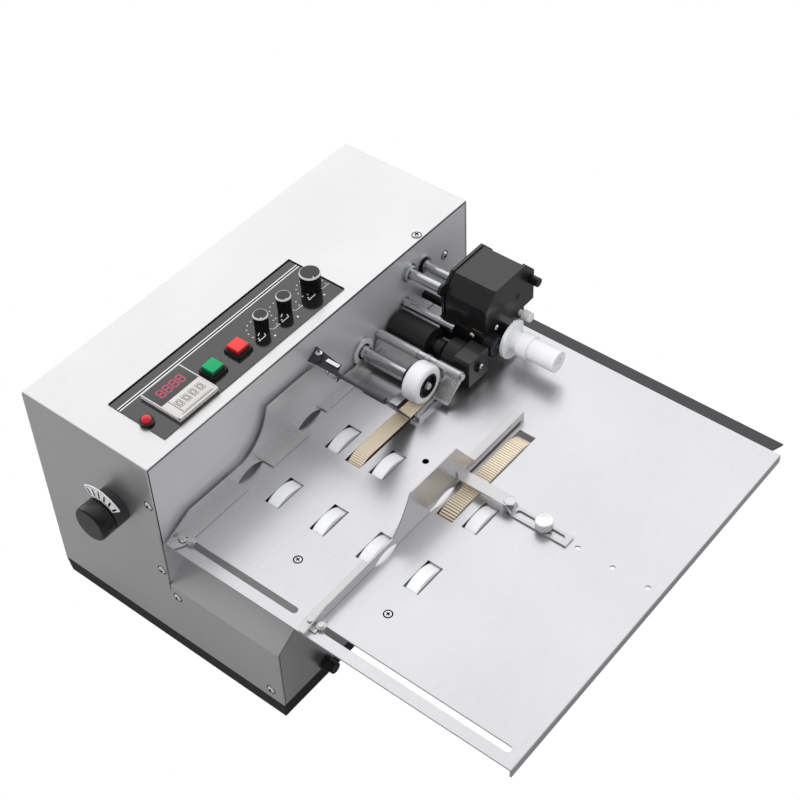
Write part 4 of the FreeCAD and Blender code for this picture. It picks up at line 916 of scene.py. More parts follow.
@dataclass
class Fasteners:
    """Screw heads of the casing, the table, the head and the guides.

    Pairs of lengths are the radius and height of a head, or its place in its sheet's plane.
    """

    trees: Trees
    recess_share: float = 1.15
    recess_span: float = 5.0
    recess_width: float = 1.5
    recess_depth: float = 1.4
    recess_depth_share: float = 0.7
    full_radius: float = 4.0
    # The next three lengths size the black ring of painted shadow laid round each head where it sits.
    seat: float = 0.8
    shadow_ring_lap: float = 0.4
    shadow_ring_rise: float = 0.12
    flush_share: float = 0.82
    flush_rise: float = 0.5
    small_head: tuple[float, float] = (2.6, 1.6)
    medium_head: tuple[float, float] = (3.2, 1.8)
    cheek_screw: tuple[float, float] = (6.7, 200.8)
    plate_screws: tuple[tuple[float, float], ...] = ((19.3, 178.1), (29.9, 159.3), (190.3, 196.5))
    bearing_screw: tuple[float, float] = (112.8, 171.8)
    entry_screw: tuple[float, float] = (26.6, 184.1)
    leaf_screw: tuple[float, float] = (4.1, 96.8)
    leaf_slot: tuple[float, float, float, float] = (-1.2, 71.0, 4.4, 86.4)
    leaf_slot_shadow_rim: float = 0.8
    fence_screw: tuple[float, float] = (-181.3, 92.6)
    fence_foot: float = 1.5

    def heads(self, name: str, places: Sequence[Point], facing: Sequence[Point],
              size: tuple[float, float], body: str = "machine",
              stands_for: Sequence[str] = ()) -> None:
        """Grow pan heads on a set of places.

        Args:
            name: the piece's name.
            places: where each head sits.
            facing: the way each head faces.
            size: radius and height of a head.
            body: the body that they ride on.
            stands_for: the CAD nodes that they replace.
        """
        radius, height = size
        # The cross recesses take GAP_BLACK, painted shade in the cut.
        piece = self.trees.pan_heads.grow(name, host_points(name, places, facing), BRIGHT_STEEL, {
            "Dome Radius": (radius ** 2 + height ** 2) / (2 * height), "Head Height": height,
            "Recess Span": min(self.recess_span, radius * self.recess_share),
            "Recess Width": self.recess_width * min(1.0, radius / self.full_radius),
            "Recess Depth": min(self.recess_depth, height * self.recess_depth_share),
            "Recess Shade Material": GAP_BLACK.build()})
        install(piece, body, stands_for)

    def shadow_rings(self, name: str, places: Sequence[Point], facing: Sequence[Point],
              radius: float, body: str = "machine") -> None:
        """Draw a ring of painted shadow round each head where it sits on its sheet."""
        work = Workpiece(name)
        profile = collar(radius - self.shadow_ring_lap, radius + self.seat, 0, self.shadow_ring_rise)
        for place, way in zip(places, facing):
            work.lathe(profile, place, way, GAP_BLACK, ring=True, segments=40)
        work.deliver(body)

    def casing(self) -> None:
        """Replace the casing's plain screws."""
        middle = Box.of("casing_shell").centre
        places, facing = [], []
        solids = solids_of("casing_screws")
        for solid in solids:
            thin = min(range(3), key=lambda i, size=solid.size: size[i])
            side = 1 if solid.centre[thin] > middle[thin] else -1
            way = [0.0, 0.0, 0.0]
            way[thin] = side
            seat = solid.centre.copy()
            seat[thin] = solid.low[thin] if side > 0 else solid.high[thin]
            places.append(tuple(seat))
            facing.append(tuple(way))
        size = max(solids[0].size) / 2, min(solids[0].size)
        self.heads("casing_screw_heads", places, facing, size, stands_for=("casing_screws",))
        self.shadow_rings("casing_screw_shadow_rings", places, facing, size[0])

    def table(self) -> None:
        """Lay low heads on the table's flush screws, each in a ring of painted shadow."""
        solids = solids_of("table_screws")
        places = [(s.centre.x, s.centre.y, s.high.z - 0.05) for s in solids]
        radius = solids[0].size.x / 2 * self.flush_share
        facing = [UP] * len(places)
        self.heads("table_screw_heads", places, facing, (radius, self.flush_rise))
        self.shadow_rings("table_screw_shadow_rings", places, facing, radius)

    def small_ones(self) -> None:
        """Set the small screws of the print head, the front plate and the bearing block."""
        cheek = Box.of("head_frame").low
        plate = Box.of("front_plate").low.y
        bearing = Box.of("roller_bearing_block").low.y
        across, height = self.cheek_screw
        small = [(cheek.x + across, cheek.y, height)]
        small += [(x, plate, z) for x, z in self.plate_screws]
        small.append((self.bearing_screw[0], bearing, self.bearing_screw[1]))
        facing = [FRONT] * len(small)
        small.append((cheek.x, *self.entry_screw))
        facing.append(LEFT)
        self.heads("small_screw_heads", small, facing, self.small_head)
        self.shadow_rings("small_screw_shadow_rings", small, facing, self.small_head[0])

    def guide_screws(self) -> None:
        """Set the screws of the separator's leaf, with its slot drawn as a steel strip in a painted
        shadow outline, and of the left fence's foot.
        """
        up = [UP]
        top = Box.of("separator_lever").high.z
        body = BODY_OF_NODE["separator_lever"]
        self.heads("separator_screw_head", [(*self.leaf_screw, top)], up, self.medium_head, body)
        work = Workpiece("separator_slot_painted_shade")
        left, front, right, back = self.leaf_slot
        rim = self.leaf_slot_shadow_rim
        # The black outline round the steel strip is painted shadow along the slot's edges.
        work.block((left, front, top), (right, back, top + 0.1), GAP_BLACK)
        work.block((left + rim, front + rim, top), (right - rim, back - rim, top + 0.2), TURNED_STEEL)
        work.deliver(body)
        foot = [(*self.fence_screw, Box.of("feed_table").high.z + self.fence_foot)]
        self.heads("left_fence_screw_head", foot, up, self.medium_head, "left_fence")
        self.shadow_rings("left_fence_screw_shadow_ring", foot, up, self.medium_head[0], "left_fence")

    def build(self) -> None:
        """Make every set of heads."""
        self.casing()
        self.table()
        self.small_ones()
        self.guide_screws()


@dataclass
class SeamShadowStrips:
    """Painted shadow: dark strips where the front plate meets the casing's top and its left end,
    standing in for the shade in the gap.
    """

    gap: float = 0.9
    sheet: float = 1.5
    proud: float = 0.15
    lap: float = 0.2

    def build(self) -> None:
        """Draw the two painted shadow strips."""
        shell = Box.of("casing_shell")
        plate = Box.of("front_plate")
        foot = Box.of("feed_table").high.z + self.lap
        face = plate.low.y
        under = shell.high.z - self.sheet
        inside = shell.low.x + self.sheet
        work = Workpiece("seam_shadow_strips")
        for low, high in (((plate.low.x, under - self.gap), (plate.high.x, under)),
                          ((inside, foot), (inside + self.gap, under))):
            work.block((low[0], face - self.proud, low[1]), (high[0], face + self.lap, high[1]),
                       GAP_BLACK)
        work.deliver("machine")


@dataclass(frozen=True)
class BeltPlan:
    """How the ribs of one belt are laid out; a stud width of 0 is the whole belt's."""

    name: str
    pitch: float
    share: float
    studs: int = 1
    width: float = 0.0
    step: float = 0.0


@dataclass
class FeedDrive:
    """Ribbed belts, wheels and rollers of the feed."""

    trees: Trees
    band: float = 1.3
    ribs: float = 2.6
    inset: float = 0.3
    arc_steps: int = 24
    # Both patterns are drawn coarser than the real belts', which the picture can't hold
    plans: tuple[BeltPlan, ...] = (BeltPlan("outer_feed_belt", 2.6, 0.68),
                                   BeltPlan("inner_feed_belt", 2.0, 0.8, 7, 1.75, 2.05))
    rolling_nodes: tuple[str, ...] = ("feed_wheels_1", "feed_wheels_2", "lower_feed_roller",
                                      "upper_feed_roller", "platen_roller")
    edge: float = 0.5

    def loop(self, name: str, box: Box) -> bpy.types.Mesh:
        """Draw the middle line of a belt that fills a box."""
        reach = box.size.z / 2 - self.ribs / 2
        ends = (box.high.x - box.size.z / 2, box.low.x + box.size.z / 2)
        points = []
        for end, start in zip(ends, (-math.pi / 2, math.pi / 2)):
            for i in range(self.arc_steps + 1):
                turn = start + math.pi * i / self.arc_steps
                points.append(Vector((end + reach * math.cos(turn), box.centre.y,
                                      box.centre.z + reach * math.sin(turn))) * MM)
        mesh = bpy.data.meshes.new(name)
        mesh.from_pydata(points, [(i, (i + 1) % len(points)) for i in range(len(points))], [])
        return mesh

    def belts(self) -> None:
        """Grow the outer belt with cross ribs and the inner one with a fine grid of studs."""
        pieces = []
        for box, plan in zip(solids_of("feed_belts"), self.plans):
            pieces.append(self.trees.belts.grow(plan.name, self.loop(plan.name, box), CREAM_BELT, {
                "Pitch": plan.pitch * MM, "Belt Width": (box.size.y - self.inset) * MM,
                "Band Thickness": self.band * MM, "Rib Thickness": self.ribs * MM,
                "Rib Run": plan.pitch * plan.share * MM, "Studs Across": plan.studs,
                "Stud Width": (plan.width or box.size.y) * MM, "Stud Step": plan.step * MM,
                "Groove Shade Material": BELT_GROOVE_SHADE.build()}))
        for piece in pieces:
            install(piece, "machine", ("feed_belts",))

    def build(self) -> None:
        """Make the belts and ease the rolling parts."""
        self.belts()
        for node in self.rolling_nodes:
            ease(node, self.edge)


@dataclass
class PressWheel:
    """Urethane press wheel with its recessed hub."""

    round_over: float = 3.6
    arc_steps: int = 8
    lead: float = 0.6
    rim: float = 2.2
    recess: float = 3.2
    boss: float = 4.4
    boss_depth: float = 1.2
    screw: float = 3.3
    socket: float = 1.6
    flange_reach: float = 3.0
    flange_radius: float = 13.3
    mouth: float = 8.0
    collar: float = 6.4
    shaft_edge: float = 0.4

    def flange(self) -> None:
        """Face the flange on the front plate in bright steel, with a ring of painted shadow at its
        mouth.
        """
        hub = Box.of("press_wheel_hub").centre
        face = (hub.x, Box.of("front_plate").low.y - self.flange_reach, hub.z)
        work = Workpiece("press_flange_face")
        # The inner ring in GAP_BLACK is painted shadow in the flange's bore.
        for inner, outer, finish in ((self.mouth, self.flange_radius, KNOB_RIM),
                                     (self.collar, self.mouth, GAP_BLACK)):
            work.lathe(collar(inner, outer, -0.1, 0.15), face, FRONT, finish, ring=True)
        work.deliver("machine")

    def tyre(self) -> None:
        """Turn the tyre with round shoulders."""
        box = Box.of("press_wheel_tyre")
        outer, width = box.size.z / 2, box.size.y
        inner = Box.of("press_wheel_hub").size.z / 2 + 0.05
        over, lead = self.round_over, self.lead
        turns = [math.pi / 2 * i / self.arc_steps for i in range(self.arc_steps + 1)]
        near = [(outer - over * (1 - math.sin(t)), over * (1 - math.cos(t))) for t in turns]
        far = [(reach, width - run) for reach, run in reversed(near)]
        profile = [(inner, lead), (inner + lead, 0), *near, *far, (inner + lead, width),
                   (inner, width - lead)]
        work = Workpiece("press_wheel_tyre_round")
        work.lathe(profile, box.face, BACK, PALE_RUBBER, segments=96, ring=True)
        work.deliver("press_wheel", ("press_wheel_tyre",))

    def hub(self) -> None:
        """Turn the black hub with its recess, boss and socket screw."""
        box = Box.of("press_wheel_hub")
        radius, width = box.size.z / 2, box.size.y
        wall = radius - self.rim
        deep = self.boss_depth
        work = Workpiece("press_wheel_hub_recessed")
        profile = [(0, deep), (self.boss - 0.4, deep), (self.boss, deep + 0.4),
                   (self.boss, self.recess), (wall - 0.4, self.recess), (wall, 0.4),
                   (wall + 0.4, 0), (radius - 0.5, 0), (radius, 0.5), (radius, width - 0.5),
                   (radius - 0.5, width), (0, width)]
        work.lathe(profile, box.face, BACK, BLACK_PLASTIC)
        head = [(0, -0.2), (self.socket, -0.2), (self.socket, -deep), (self.screw - 0.5, -deep),
                (self.screw, 0.5 - deep), (self.screw, 1.3), (0, 1.3)]
        work.lathe(head, box.face, BACK, BRIGHT_STEEL, segments=48)
        work.deliver("press_wheel", ("press_wheel_hub",))

    def build(self) -> None:
        """Make the tyre, the hub and the flange's face, and ease the shaft."""
        self.flange()
        self.tyre()
        self.hub()
        ease("press_shaft", self.shaft_edge)


@dataclass
class StackGuides:
    """Clamp screw and nut of the right fence's arm."""

    knurls: int = 36
    knurl_depth: float = 0.45
    round_over: float = 1.2
    shank_radius: float = 2.9
    head_height: float = 7.7
    arm_sheet: float = 1.5
    nut_across: float = 5.6
    nut_height: float = 8.9
    nut_place: tuple[float, float] = (10.0, -103.0)

    def arm_nut(self) -> None:
        """Stand the plain hexagon nut at the foot of the arm's step."""
        foot = Box.of("guide_arm").low.z + self.arm_sheet
        x, y = self.nut_place
        turns = [FULL_TURN * i / 6 for i in range(6)]
        outline = [(x + self.nut_across * math.cos(t), y + self.nut_across * math.sin(t), foot)
                   for t in turns]
        work = Workpiece("arm_nut")
        work.prism(outline, (0, 0, self.nut_height), TURNED_STEEL, 0.5)
        work.deliver("right_fence")

    def thumb_screw(self) -> None:
        """Turn the knurled thumb screw."""
        box = Box.of("arm_thumb_screw")
        radius = box.size.x / 2
        top = box.size.z
        foot = top - self.head_height
        over = self.round_over
        flat = radius - over - 1.4
        profile = [(0, 0), (self.shank_radius - 0.5, 0), (self.shank_radius, 0.6),
                   (self.shank_radius, foot - 0.4), (radius - 0.8, foot - 0.3),
                   (radius, foot + 0.8), (radius, top - over),
                   (radius - over * 0.35, top - over * 0.35), (radius - over, top), (flat, top),
                   (flat - 0.4, top - 0.25), (0, top - 0.25)]
        work = Workpiece("arm_thumb_screw_knurled")
        knurl = Flutes(self.knurls, self.knurl_depth, foot + 0.7, top - over - 0.01)
        work.lathe(profile, box.foot, UP, BRIGHT_STEEL, segments=144, flutes=knurl)
        work.deliver("thumb_screw", ("arm_thumb_screw",))

    def build(self) -> None:
        """Make the clamp screw and the nut."""
        self.thumb_screw()
        self.arm_nut()


@dataclass
class PrintHead:
    """Print head: its eased frame and hood, the sleeve and the small knobs."""

    eased: tuple[str, ...] = ("head_frame", "head_hood", "print_sleeve", "idler_gear",
                              "hood_knob", "roller_bearing_block", "support_rods",
                              "print_shaft")
    edge: float = 0.35
    ink_ribs: int = 18
    ink_depth: float = 0.5
    grip_share: float = 0.55
    neck_share: float = 0.6
    post_bore: float = 4.9

    def ink_knob(self) -> None:
        """Turn the small ribbed knob that sets the ink."""
        box = Box.of("ink_knob")
        radius, length = box.size.x / 2, box.size.y
        grip, neck = length * self.grip_share, radius * self.neck_share
        profile = [(0, 0), (radius - 0.8, 0), (radius, 0.8), (radius, grip),
                   (radius - 0.6, grip + 0.4), (neck, length * 0.6), (neck, length), (0, length)]
        work = Workpiece("ink_knob_ribbed")
        work.lathe(profile, box.face, BACK, NYLON, segments=108,
                   flutes=Flutes(self.ink_ribs, self.ink_depth, 0.8, grip))
        work.deliver("ink_setting", ("ink_knob",))

    def post_rings(self) -> None:
        """Slip a ring nut over each head post where it leaves the front plate."""
        plate = Box.of("front_plate").low.y
        work = Workpiece("head_post_rings")
        for solid, finish in zip(solids_of("support_rods")[2:], (BRIGHT_STEEL, BLACK_PLASTIC)):
            centre = (solid.centre.x, plate, solid.centre.z)
            radius = solid.size.z / 2
            profile = [(self.post_bore, 2.2), (radius - 2.2, 2.2), (radius - 1.6, 3.4),
                       (radius - 3.4, 4.0), (self.post_bore, 3.6)]
            work.lathe(profile, centre, FRONT, finish, ring=True)
        work.deliver("machine")

    def build(self) -> None:
        """Make the knob and rings and ease the rest."""
        self.ink_knob()
        self.post_rings()
        for node in self.eased:
            ease(node, self.edge)


@dataclass
class PresetCounter:
    """Counter of the panel: its case, a smoked window with figures, and the digit switches.

    Pairs of lengths are across and along, as half sizes where the name says so.
    """

    rim: float = 1.1
    sink: float = 0.7
    body_inset: float = 1.5
    frame_depth: float = 1.6
    lens_run: float = 22.4
    lens_rise: float = 0.25
    figure_place: float = 0.47
    figure_size: tuple[float, float] = (5.0, 8.6)
    figure_line: float = 1.4
    figure_step: float = 7.6
    print_rise: float = 0.05
    switch_ends: tuple[float, float] = (9.0, 5.0)
    switch_run: float = 18.4
    switch_gap: float = 0.6
    switch_rise: float = 0.75
    outline_half: tuple[float, float] = (3.0, 4.4)
    tile_half: tuple[float, float] = (2.5, 3.9)
    tile_rise: float = 0.09
    digit_size: tuple[float, float] = (2.9, 5.2)
    digit_line: float = 0.8
    count: int = 4

    def build(self) -> None:
        """Build the case with its raised rim, the window and the switches."""
        case = Box.of("counter_case")
        panel = Box.of("panel_plate").high.z
        low, high = case.low, case.high
        face = high.z - self.sink
        rim, inset = self.rim, self.body_inset
        work = Workpiece("counter_case_detailed")
        work.block((low.x + inset, low.y + inset, low.z),
                   (high.x - inset, high.y - inset, panel + 1), BLACK_PLASTIC)
        work.block((low.x, low.y, panel + 0.05), (high.x, high.y, face), COUNTER_GREY, 0.9)
        for start, end in (((low.x, low.y), (high.x, low.y + 2 * rim)),
                           ((low.x, high.y - rim), (high.x, high.y)),
                           ((low.x, low.y), (low.x + rim, high.y)),
                           ((high.x - rim, low.y), (high.x, high.y))):
            work.block((*start, face - self.frame_depth), (*end, high.z), COUNTER_GREY, 0.35)
        window = high.y - rim - self.lens_run
        glass = face + self.lens_rise
        work.block((low.x + rim, window, face - 0.5), (high.x - rim, high.y - rim, glass),
                   COUNTER_LENS, 0.1)
        self.figures(work, (case.centre.x, window + self.lens_run * self.figure_place, glass))
        self.switches(work, case, face, window)
        work.deliver("machine", ("counter_case",))

    def figures(self, work: Workpiece, centre: Point) -> None:
        """Set four plain figures and a point behind the window, in red with a faint painted glow."""
        x, y, z = centre
        for i in range(self.count):
            place = (x + (i - (self.count - 1) / 2) * self.figure_step, y, z)
            work.digit(place, self.figure_size, self.figure_line, self.print_rise, "abcdefg",
                       RED_GLOW)
        work.block((x - 8.3, y - 5.0, z), (x - 7.0, y - 3.6, z + self.print_rise), RED_GLOW)

    def switches(self, work: Workpiece, case: Box, face: float, window: float) -> None:
        """Build the raised block with its four digit tiles and the slots beside it, the slots drawn
        as flat grey strips of painted shade.
        """
        left, right = case.low.x + self.switch_ends[0], case.high.x - self.switch_ends[1]
        front, back = window - self.switch_run, window - self.switch_gap
        top = face + self.switch_rise
        work.block((left, front, face - 0.4), (right, back, top), COUNTER_GREY, 0.3)
        step = (right - left) / self.count
        y = (front + window) / 2 - 0.4
        for i in range(self.count):
            x = left + step * (i + 0.5)
            for (across, along), rise, finish in (
                    (self.outline_half, self.print_rise, COUNTER_INK),
                    (self.tile_half, self.tile_rise, COUNTER_GREY)):
                work.block((x - across, y - along, top), (x + across, y + along, top + rise), finish)
            work.digit((x, y, top + self.tile_rise), self.digit_size, self.digit_line, 0.04,
                       "abcdef", COUNTER_INK)
        # The slots are flat grey strips in the counter's print finish, standing in as painted shade.
        for start, end in (((left - 3.5, front - 1.9), (right + 1.5, front - 0.9)),
                           ((left - 0.7, front), (left - 0.2, back))):
            work.block((*start, face - 0.1), (*end, face + self.print_rise), COUNTER_INK)


@dataclass
class ControlPanel:
    """Printed panel with its counter, buttons and knobs."""

    trees: Trees
    print_rise: float = 0.06
    strip: float = 10.4
    stripe: float = 1.1
    stripe_step: float = 2.7
    border_back: float = 2.3
    border_end: float = 2.0
    cap_bevel: float = 0.55
    cap_height: float = 4.6
    stem: float = 4.3
    knob_lift: float = 0.3
    knob_shaft: float = 3.0
    bezel_edge: float = 0.3
    dome_share: float = 0.85
    dome_steps: int = 12
    flutes: int = 40
    flute_depth: float = 0.25
    knobs: tuple[tuple[str, float, float], ...] = (
        ("speed", 7.0, 228), ("position", 7.0, 250), ("heater", 9.8, 244))
    dot_arc: float = 13.3
    dot_across: float = 1.3
    leader_foot: tuple[float, float] = (12.5, -8.8)
    leader_width: float = 0.7

    def overlay(self) -> None:
        """Print the plain strip, its white stripes and the black border."""
        plate = Box.of("panel_plate")
        low, high = plate.low, plate.high
        top, rise = high.z, high.z + self.print_rise
        back, end = high.y - self.border_back, high.x - self.border_end
        work = Workpiece("panel_print")
        work.block((low.x, back, top), (high.x, high.y, rise), BLACK_INK)
        work.block((end, low.y, top), (high.x, back, rise), BLACK_INK)
        for step in (0.0, self.stripe_step):
            y = high.y - self.strip - step
            work.block((low.x, y - self.stripe, top), (end, y, rise), WHITE_INK)
        dark = high.y - self.strip - self.stripe
        work.block((low.x, dark - (self.stripe_step - self.stripe), top), (end, dark, rise - 0.02),
                   BLACK_INK)
        self.knob_prints(work)
        work.deliver("machine")

    def knob_axes(self) -> list[Vector]:
        """Give where each knob's axis meets the panel's top."""
        top = Box.of("panel_plate").high.z
        centres = [Box.of(name + "_knob").centre for name, _, _ in self.knobs]
        return [Vector((c.x, c.y, top)) for c in centres]

    def knob_prints(self, work: Workpiece) -> None:
        """Print the bent leader lines and the lone dot in front of each knob."""
        out, down = self.leader_foot
        lines = [[(side * out, down), (side * 5.0, down), (side * 3.4, -5.5)] for side in (-1, 1)]
        lines.append([(-9.25, -3.8), (-5.45, -2.1)])
        for axis in self.knob_axes():
            for line in lines:
                path = [axis + Vector((*at, 0)) for at in line]
                for start, end in zip(path, path[1:]):
                    work.stroke(start, end, self.leader_width, self.print_rise, WHITE_INK)
            for x, y, radius in ((-out, down, 0.8), (out, down, 0.8), (0, -15.1, 1.0)):
                work.lathe(disc(radius, self.print_rise), axis + Vector((x, y, 0)), UP,
                           WHITE_INK, segments=20)

    def knob_dots(self) -> None:
        """Grow the scale dots round each knob."""
        axes = self.knob_axes()
        host = host_points("knob_dots", axes, [UP] * len(axes))
        piece = self.trees.arc_marks.grow("knob_dots", host, WHITE_INK, {
            "Count": 11, "Arc Radius": self.dot_arc, "Start": math.radians(-30),
            "Sweep": math.radians(240), "Mark Run": self.dot_across,
            "Mark Width": self.dot_across, "Mark Rise": self.print_rise * 2, "Round": True})
        install(piece, "machine")

    def cap(self, name: str, face: Finish, flank: Finish) -> None:
        """Build one square lens cap on its plunger."""
        node = name + "_button"
        box = Box.of(node)
        low, high = box.low, box.high
        under = high.z - self.cap_height
        work = Workpiece(node + "_cap")
        work.lathe(disc(self.stem, under + 0.2 - low.z), box.foot, UP, BLACK_PLASTIC,
                   segments=32)
        work.block((low.x, low.y, under), (high.x, high.y, high.z - 0.5), flank, 0.5)
        work.block((low.x + 0.35, low.y + 0.35, high.z - 1.6),
                   (high.x - 0.35, high.y - 0.35, high.z), face, self.cap_bevel)
        work.deliver(name + "_key", (node,))

    def dome(self) -> None:
        """Turn the round reset button."""
        box = Box.of("reset_button")
        radius, height = box.size.x / 2, box.size.z
        bulge = radius * self.dome_share
        straight = height - bulge
        profile = [(0, 0), (radius - 0.8, 0), (radius - 0.8, straight - 2.2),
                   (radius, straight - 2.0)]
        for i in range(self.dome_steps):
            turn = math.pi / 2 * i / self.dome_steps
            profile.append((radius * math.cos(turn), straight + bulge * math.sin(turn)))
        profile.append((0, height))
        work = Workpiece("reset_button_dome")
        work.lathe(profile, box.foot, UP, RED_DOME, segments=48)
        work.deliver("reset_key", ("reset_button",))

    def knob(self, name: str, radius: float, turn: float) -> None:
        """Turn one tall fluted knob that widens upwards to a bright rim and a dark insert.

        Args:
            name: what the knob sets.
            radius: radius of the rim.
            turn: degrees from x to the pointer.
        """
        node = name + "_knob"
        box = Box.of(node)
        base = Box.of("panel_plate").high.z + self.knob_lift
        height = box.high.z - base
        foot = (box.centre.x, box.centre.y, base)
        work = Workpiece(node + "_fluted")
        under = box.low.z - base
        low, high = radius - 0.7, radius - 0.15
        grip = [(0, under), (self.knob_shaft, under), (self.knob_shaft, 0), (low - 0.4, 0),
                (low, 0.5), ((low + high) / 2, height / 2), (high, height - 2.4),
                (radius - 0.1, height - 2.1), (radius - 0.1, height - 1.35),
                (0, height - 1.35)]
        work.lathe(grip, foot, UP, KNOB_PLASTIC, segments=160,
                   flutes=Flutes(self.flutes, self.flute_depth, 0.5, height - 2.4))
        inner = radius - 0.95
        rim = [(inner, height - 1.4), (radius, height - 1.4), (radius, height - 1.2),
               (radius - 0.7, height), (inner, height)]
        work.lathe(rim, foot, UP, KNOB_RIM, ring=True)
        insert = [(0, height - 1.35), (inner + 0.05, height - 1.35), (inner + 0.05, height - 0.12),
                  (inner * 0.7, height - 0.08), (0, height - 0.06)]
        work.lathe(insert, foot, UP, KNOB_INSERT)
        angle = math.radians(turn)
        way = Vector((math.cos(angle), math.sin(angle), 0))
        across = Vector((-way.y, way.x, 0)) * 0.4
        top = Vector(foot) + Vector((0, 0, height - 0.5))
        near, far = way * (radius * 0.7), way * (radius - 0.75)
        corners = (near + across, far + across, far - across, near - across)
        outline = [top + at for at in corners]
        work.prism(outline, (0, 0, 0.56), WHITE_INK)
        work.deliver(name + "_control", (node,))

    def build(self) -> None:
        """Make everything on the panel."""
        self.overlay()
        self.knob_dots()
        PresetCounter().build()
        self.cap("start", GREEN_CAP, GREEN_SIDE)
        self.cap("stop", RED_CAP, RED_SIDE)
        self.dome()
        for name, radius, turn in self.knobs:
            self.knob(name, radius, turn)
        ease("button_bezels", self.bezel_edge)


@dataclass
class SideControl:
    """Black knob on the left end, with its collar and scale."""

    trees: Trees
    shaft: float = 4.0
    collar_run: float = 14.0
    groove: float = 1.5
    scale_outer: float = 30.0
    bars: int = 6
    line_width: float = 0.5
    print_rise: float = 0.06

    def knob(self) -> None:
        """Turn the plain drum with its round edge and matt face."""
        box = Box.of("side_knob")
        wall = Box.of("casing_shell").low.x
        radius = box.size.z / 2
        reach = wall - box.low.x
        back = self.collar_run + self.groove
        centre = (wall, box.centre.y, box.centre.z)
        inside = wall - box.high.x
        work = Workpiece("side_knob_drum")
        profile = [(0, inside), (self.shaft, inside), (self.shaft, back), (radius - 0.6, back),
                   (radius, back + 0.6), (radius, reach - 2.6), (radius - 0.5, reach - 1.2),
                   (radius - 1.6, reach - 0.35), (0, reach - 0.35)]
        work.lathe(profile, centre, LEFT, GLOSS_PLASTIC, segments=96)
        # The face is painted grey as a painted sheen on the drum's matt black face.
        face = [(0, reach - 0.4), (radius - 1.6, reach - 0.4), (radius - 2.0, reach - 0.1),
                (radius - 3.0, reach), (0, reach)]
        work.lathe(face, centre, LEFT, FACE_PLASTIC, segments=96)
        work.deliver("side_control", ("side_knob",))

    @staticmethod
    def arc(x: float, centre: Point, radius: float, turns: Sequence[float]) -> list[Point]:
        """Give the points of an arc that faces along x."""
        return [(x, centre[1] + radius * math.cos(t), centre[2] + radius * math.sin(t))
                for t in turns]

    def scale(self) -> None:
        """Turn the fixed collar and print the sector's border and bars."""
        box = Box.of("scale_plate")
        knob = Box.of("side_knob")
        wall = Box.of("casing_shell").low.x
        centre = (wall, knob.centre.y, knob.centre.z)
        run = self.collar_run
        radius = knob.size.z / 2
        work = Workpiece("side_scale_and_collar")
        ring = [(self.shaft + 0.3, 0.05), (radius, 0.05), (radius, run - 0.8),
                (radius - 0.8, run), (self.shaft + 0.3, run)]
        work.lathe(ring, centre, LEFT, COLLAR_PLASTIC, segments=96, ring=True)
        turns = [math.radians(54 + 3 * i) for i in range(30)]
        outline = self.arc(box.low.x, centre, self.scale_outer, turns)
        outline += self.arc(box.low.x, centre, radius + 0.05, turns[::-1])
        outline = [p for p in outline if box.low.y - 0.1 <= p[1] <= box.high.y + 0.1]
        work.prism(outline, (1.0, 0, 0), NYLON)
        for reach in (self.scale_outer - 0.9, radius + 1.6):
            line = self.arc(box.low.x - self.print_rise, centre, reach, turns[1:-1])
            line += self.arc(box.low.x - self.print_rise, centre, reach - self.line_width,
                             turns[-2:0:-1])
            work.prism(line, (self.print_rise, 0, 0), COUNTER_INK)
        work.deliver("machine", ("scale_plate",))
        place = (box.low.x - 0.05, centre[1], centre[2])
        host = host_points("side_scale_bars", [place], [LEFT])
        piece = self.trees.arc_marks.grow("side_scale_bars", host, BLACK_INK, {
            "Count": self.bars, "Arc Radius": (self.scale_outer + radius) / 2,
            "Start": math.radians(-46), "Sweep": math.radians(76), "Mark Run": 7.5,
            "Mark Width": 1.7, "Mark Rise": 0.1, "Round": False})
        install(piece, "machine")

    def build(self) -> None:
        """Make the knob and its scale."""
        self.knob()
        self.scale()



@dataclass
class RearFittings:
    """Flat pins in the mouth of the mains inlet."""

    pin_width: float = 2.0
    pin_length: float = 6.0
    pin_reach: float = 9.0
    pin_drop: float = 12.0
    mouth_depth: float = 2.5
    places: tuple[tuple[float, float], ...] = ((-7.0, -3.0), (7.0, -3.0), (0.0, 4.0))

    def build(self) -> None:
        """Stand the three pins in the inlet's mouth."""
        inlet = Box.of("power_inlet")
        back = inlet.high.y
        half_width, half_length = self.pin_width / 2, self.pin_length / 2
        work = Workpiece("inlet_pins")
        for across, up in self.places:
            x, z = inlet.centre.x + across, inlet.centre.z - self.pin_drop + up
            work.block((x - half_width, back - self.pin_reach - 1, z - half_length),
                       (x + half_width, back - self.mouth_depth, z + half_length),
                       BRIGHT_STEEL, 0.4)
        work.deliver("machine")


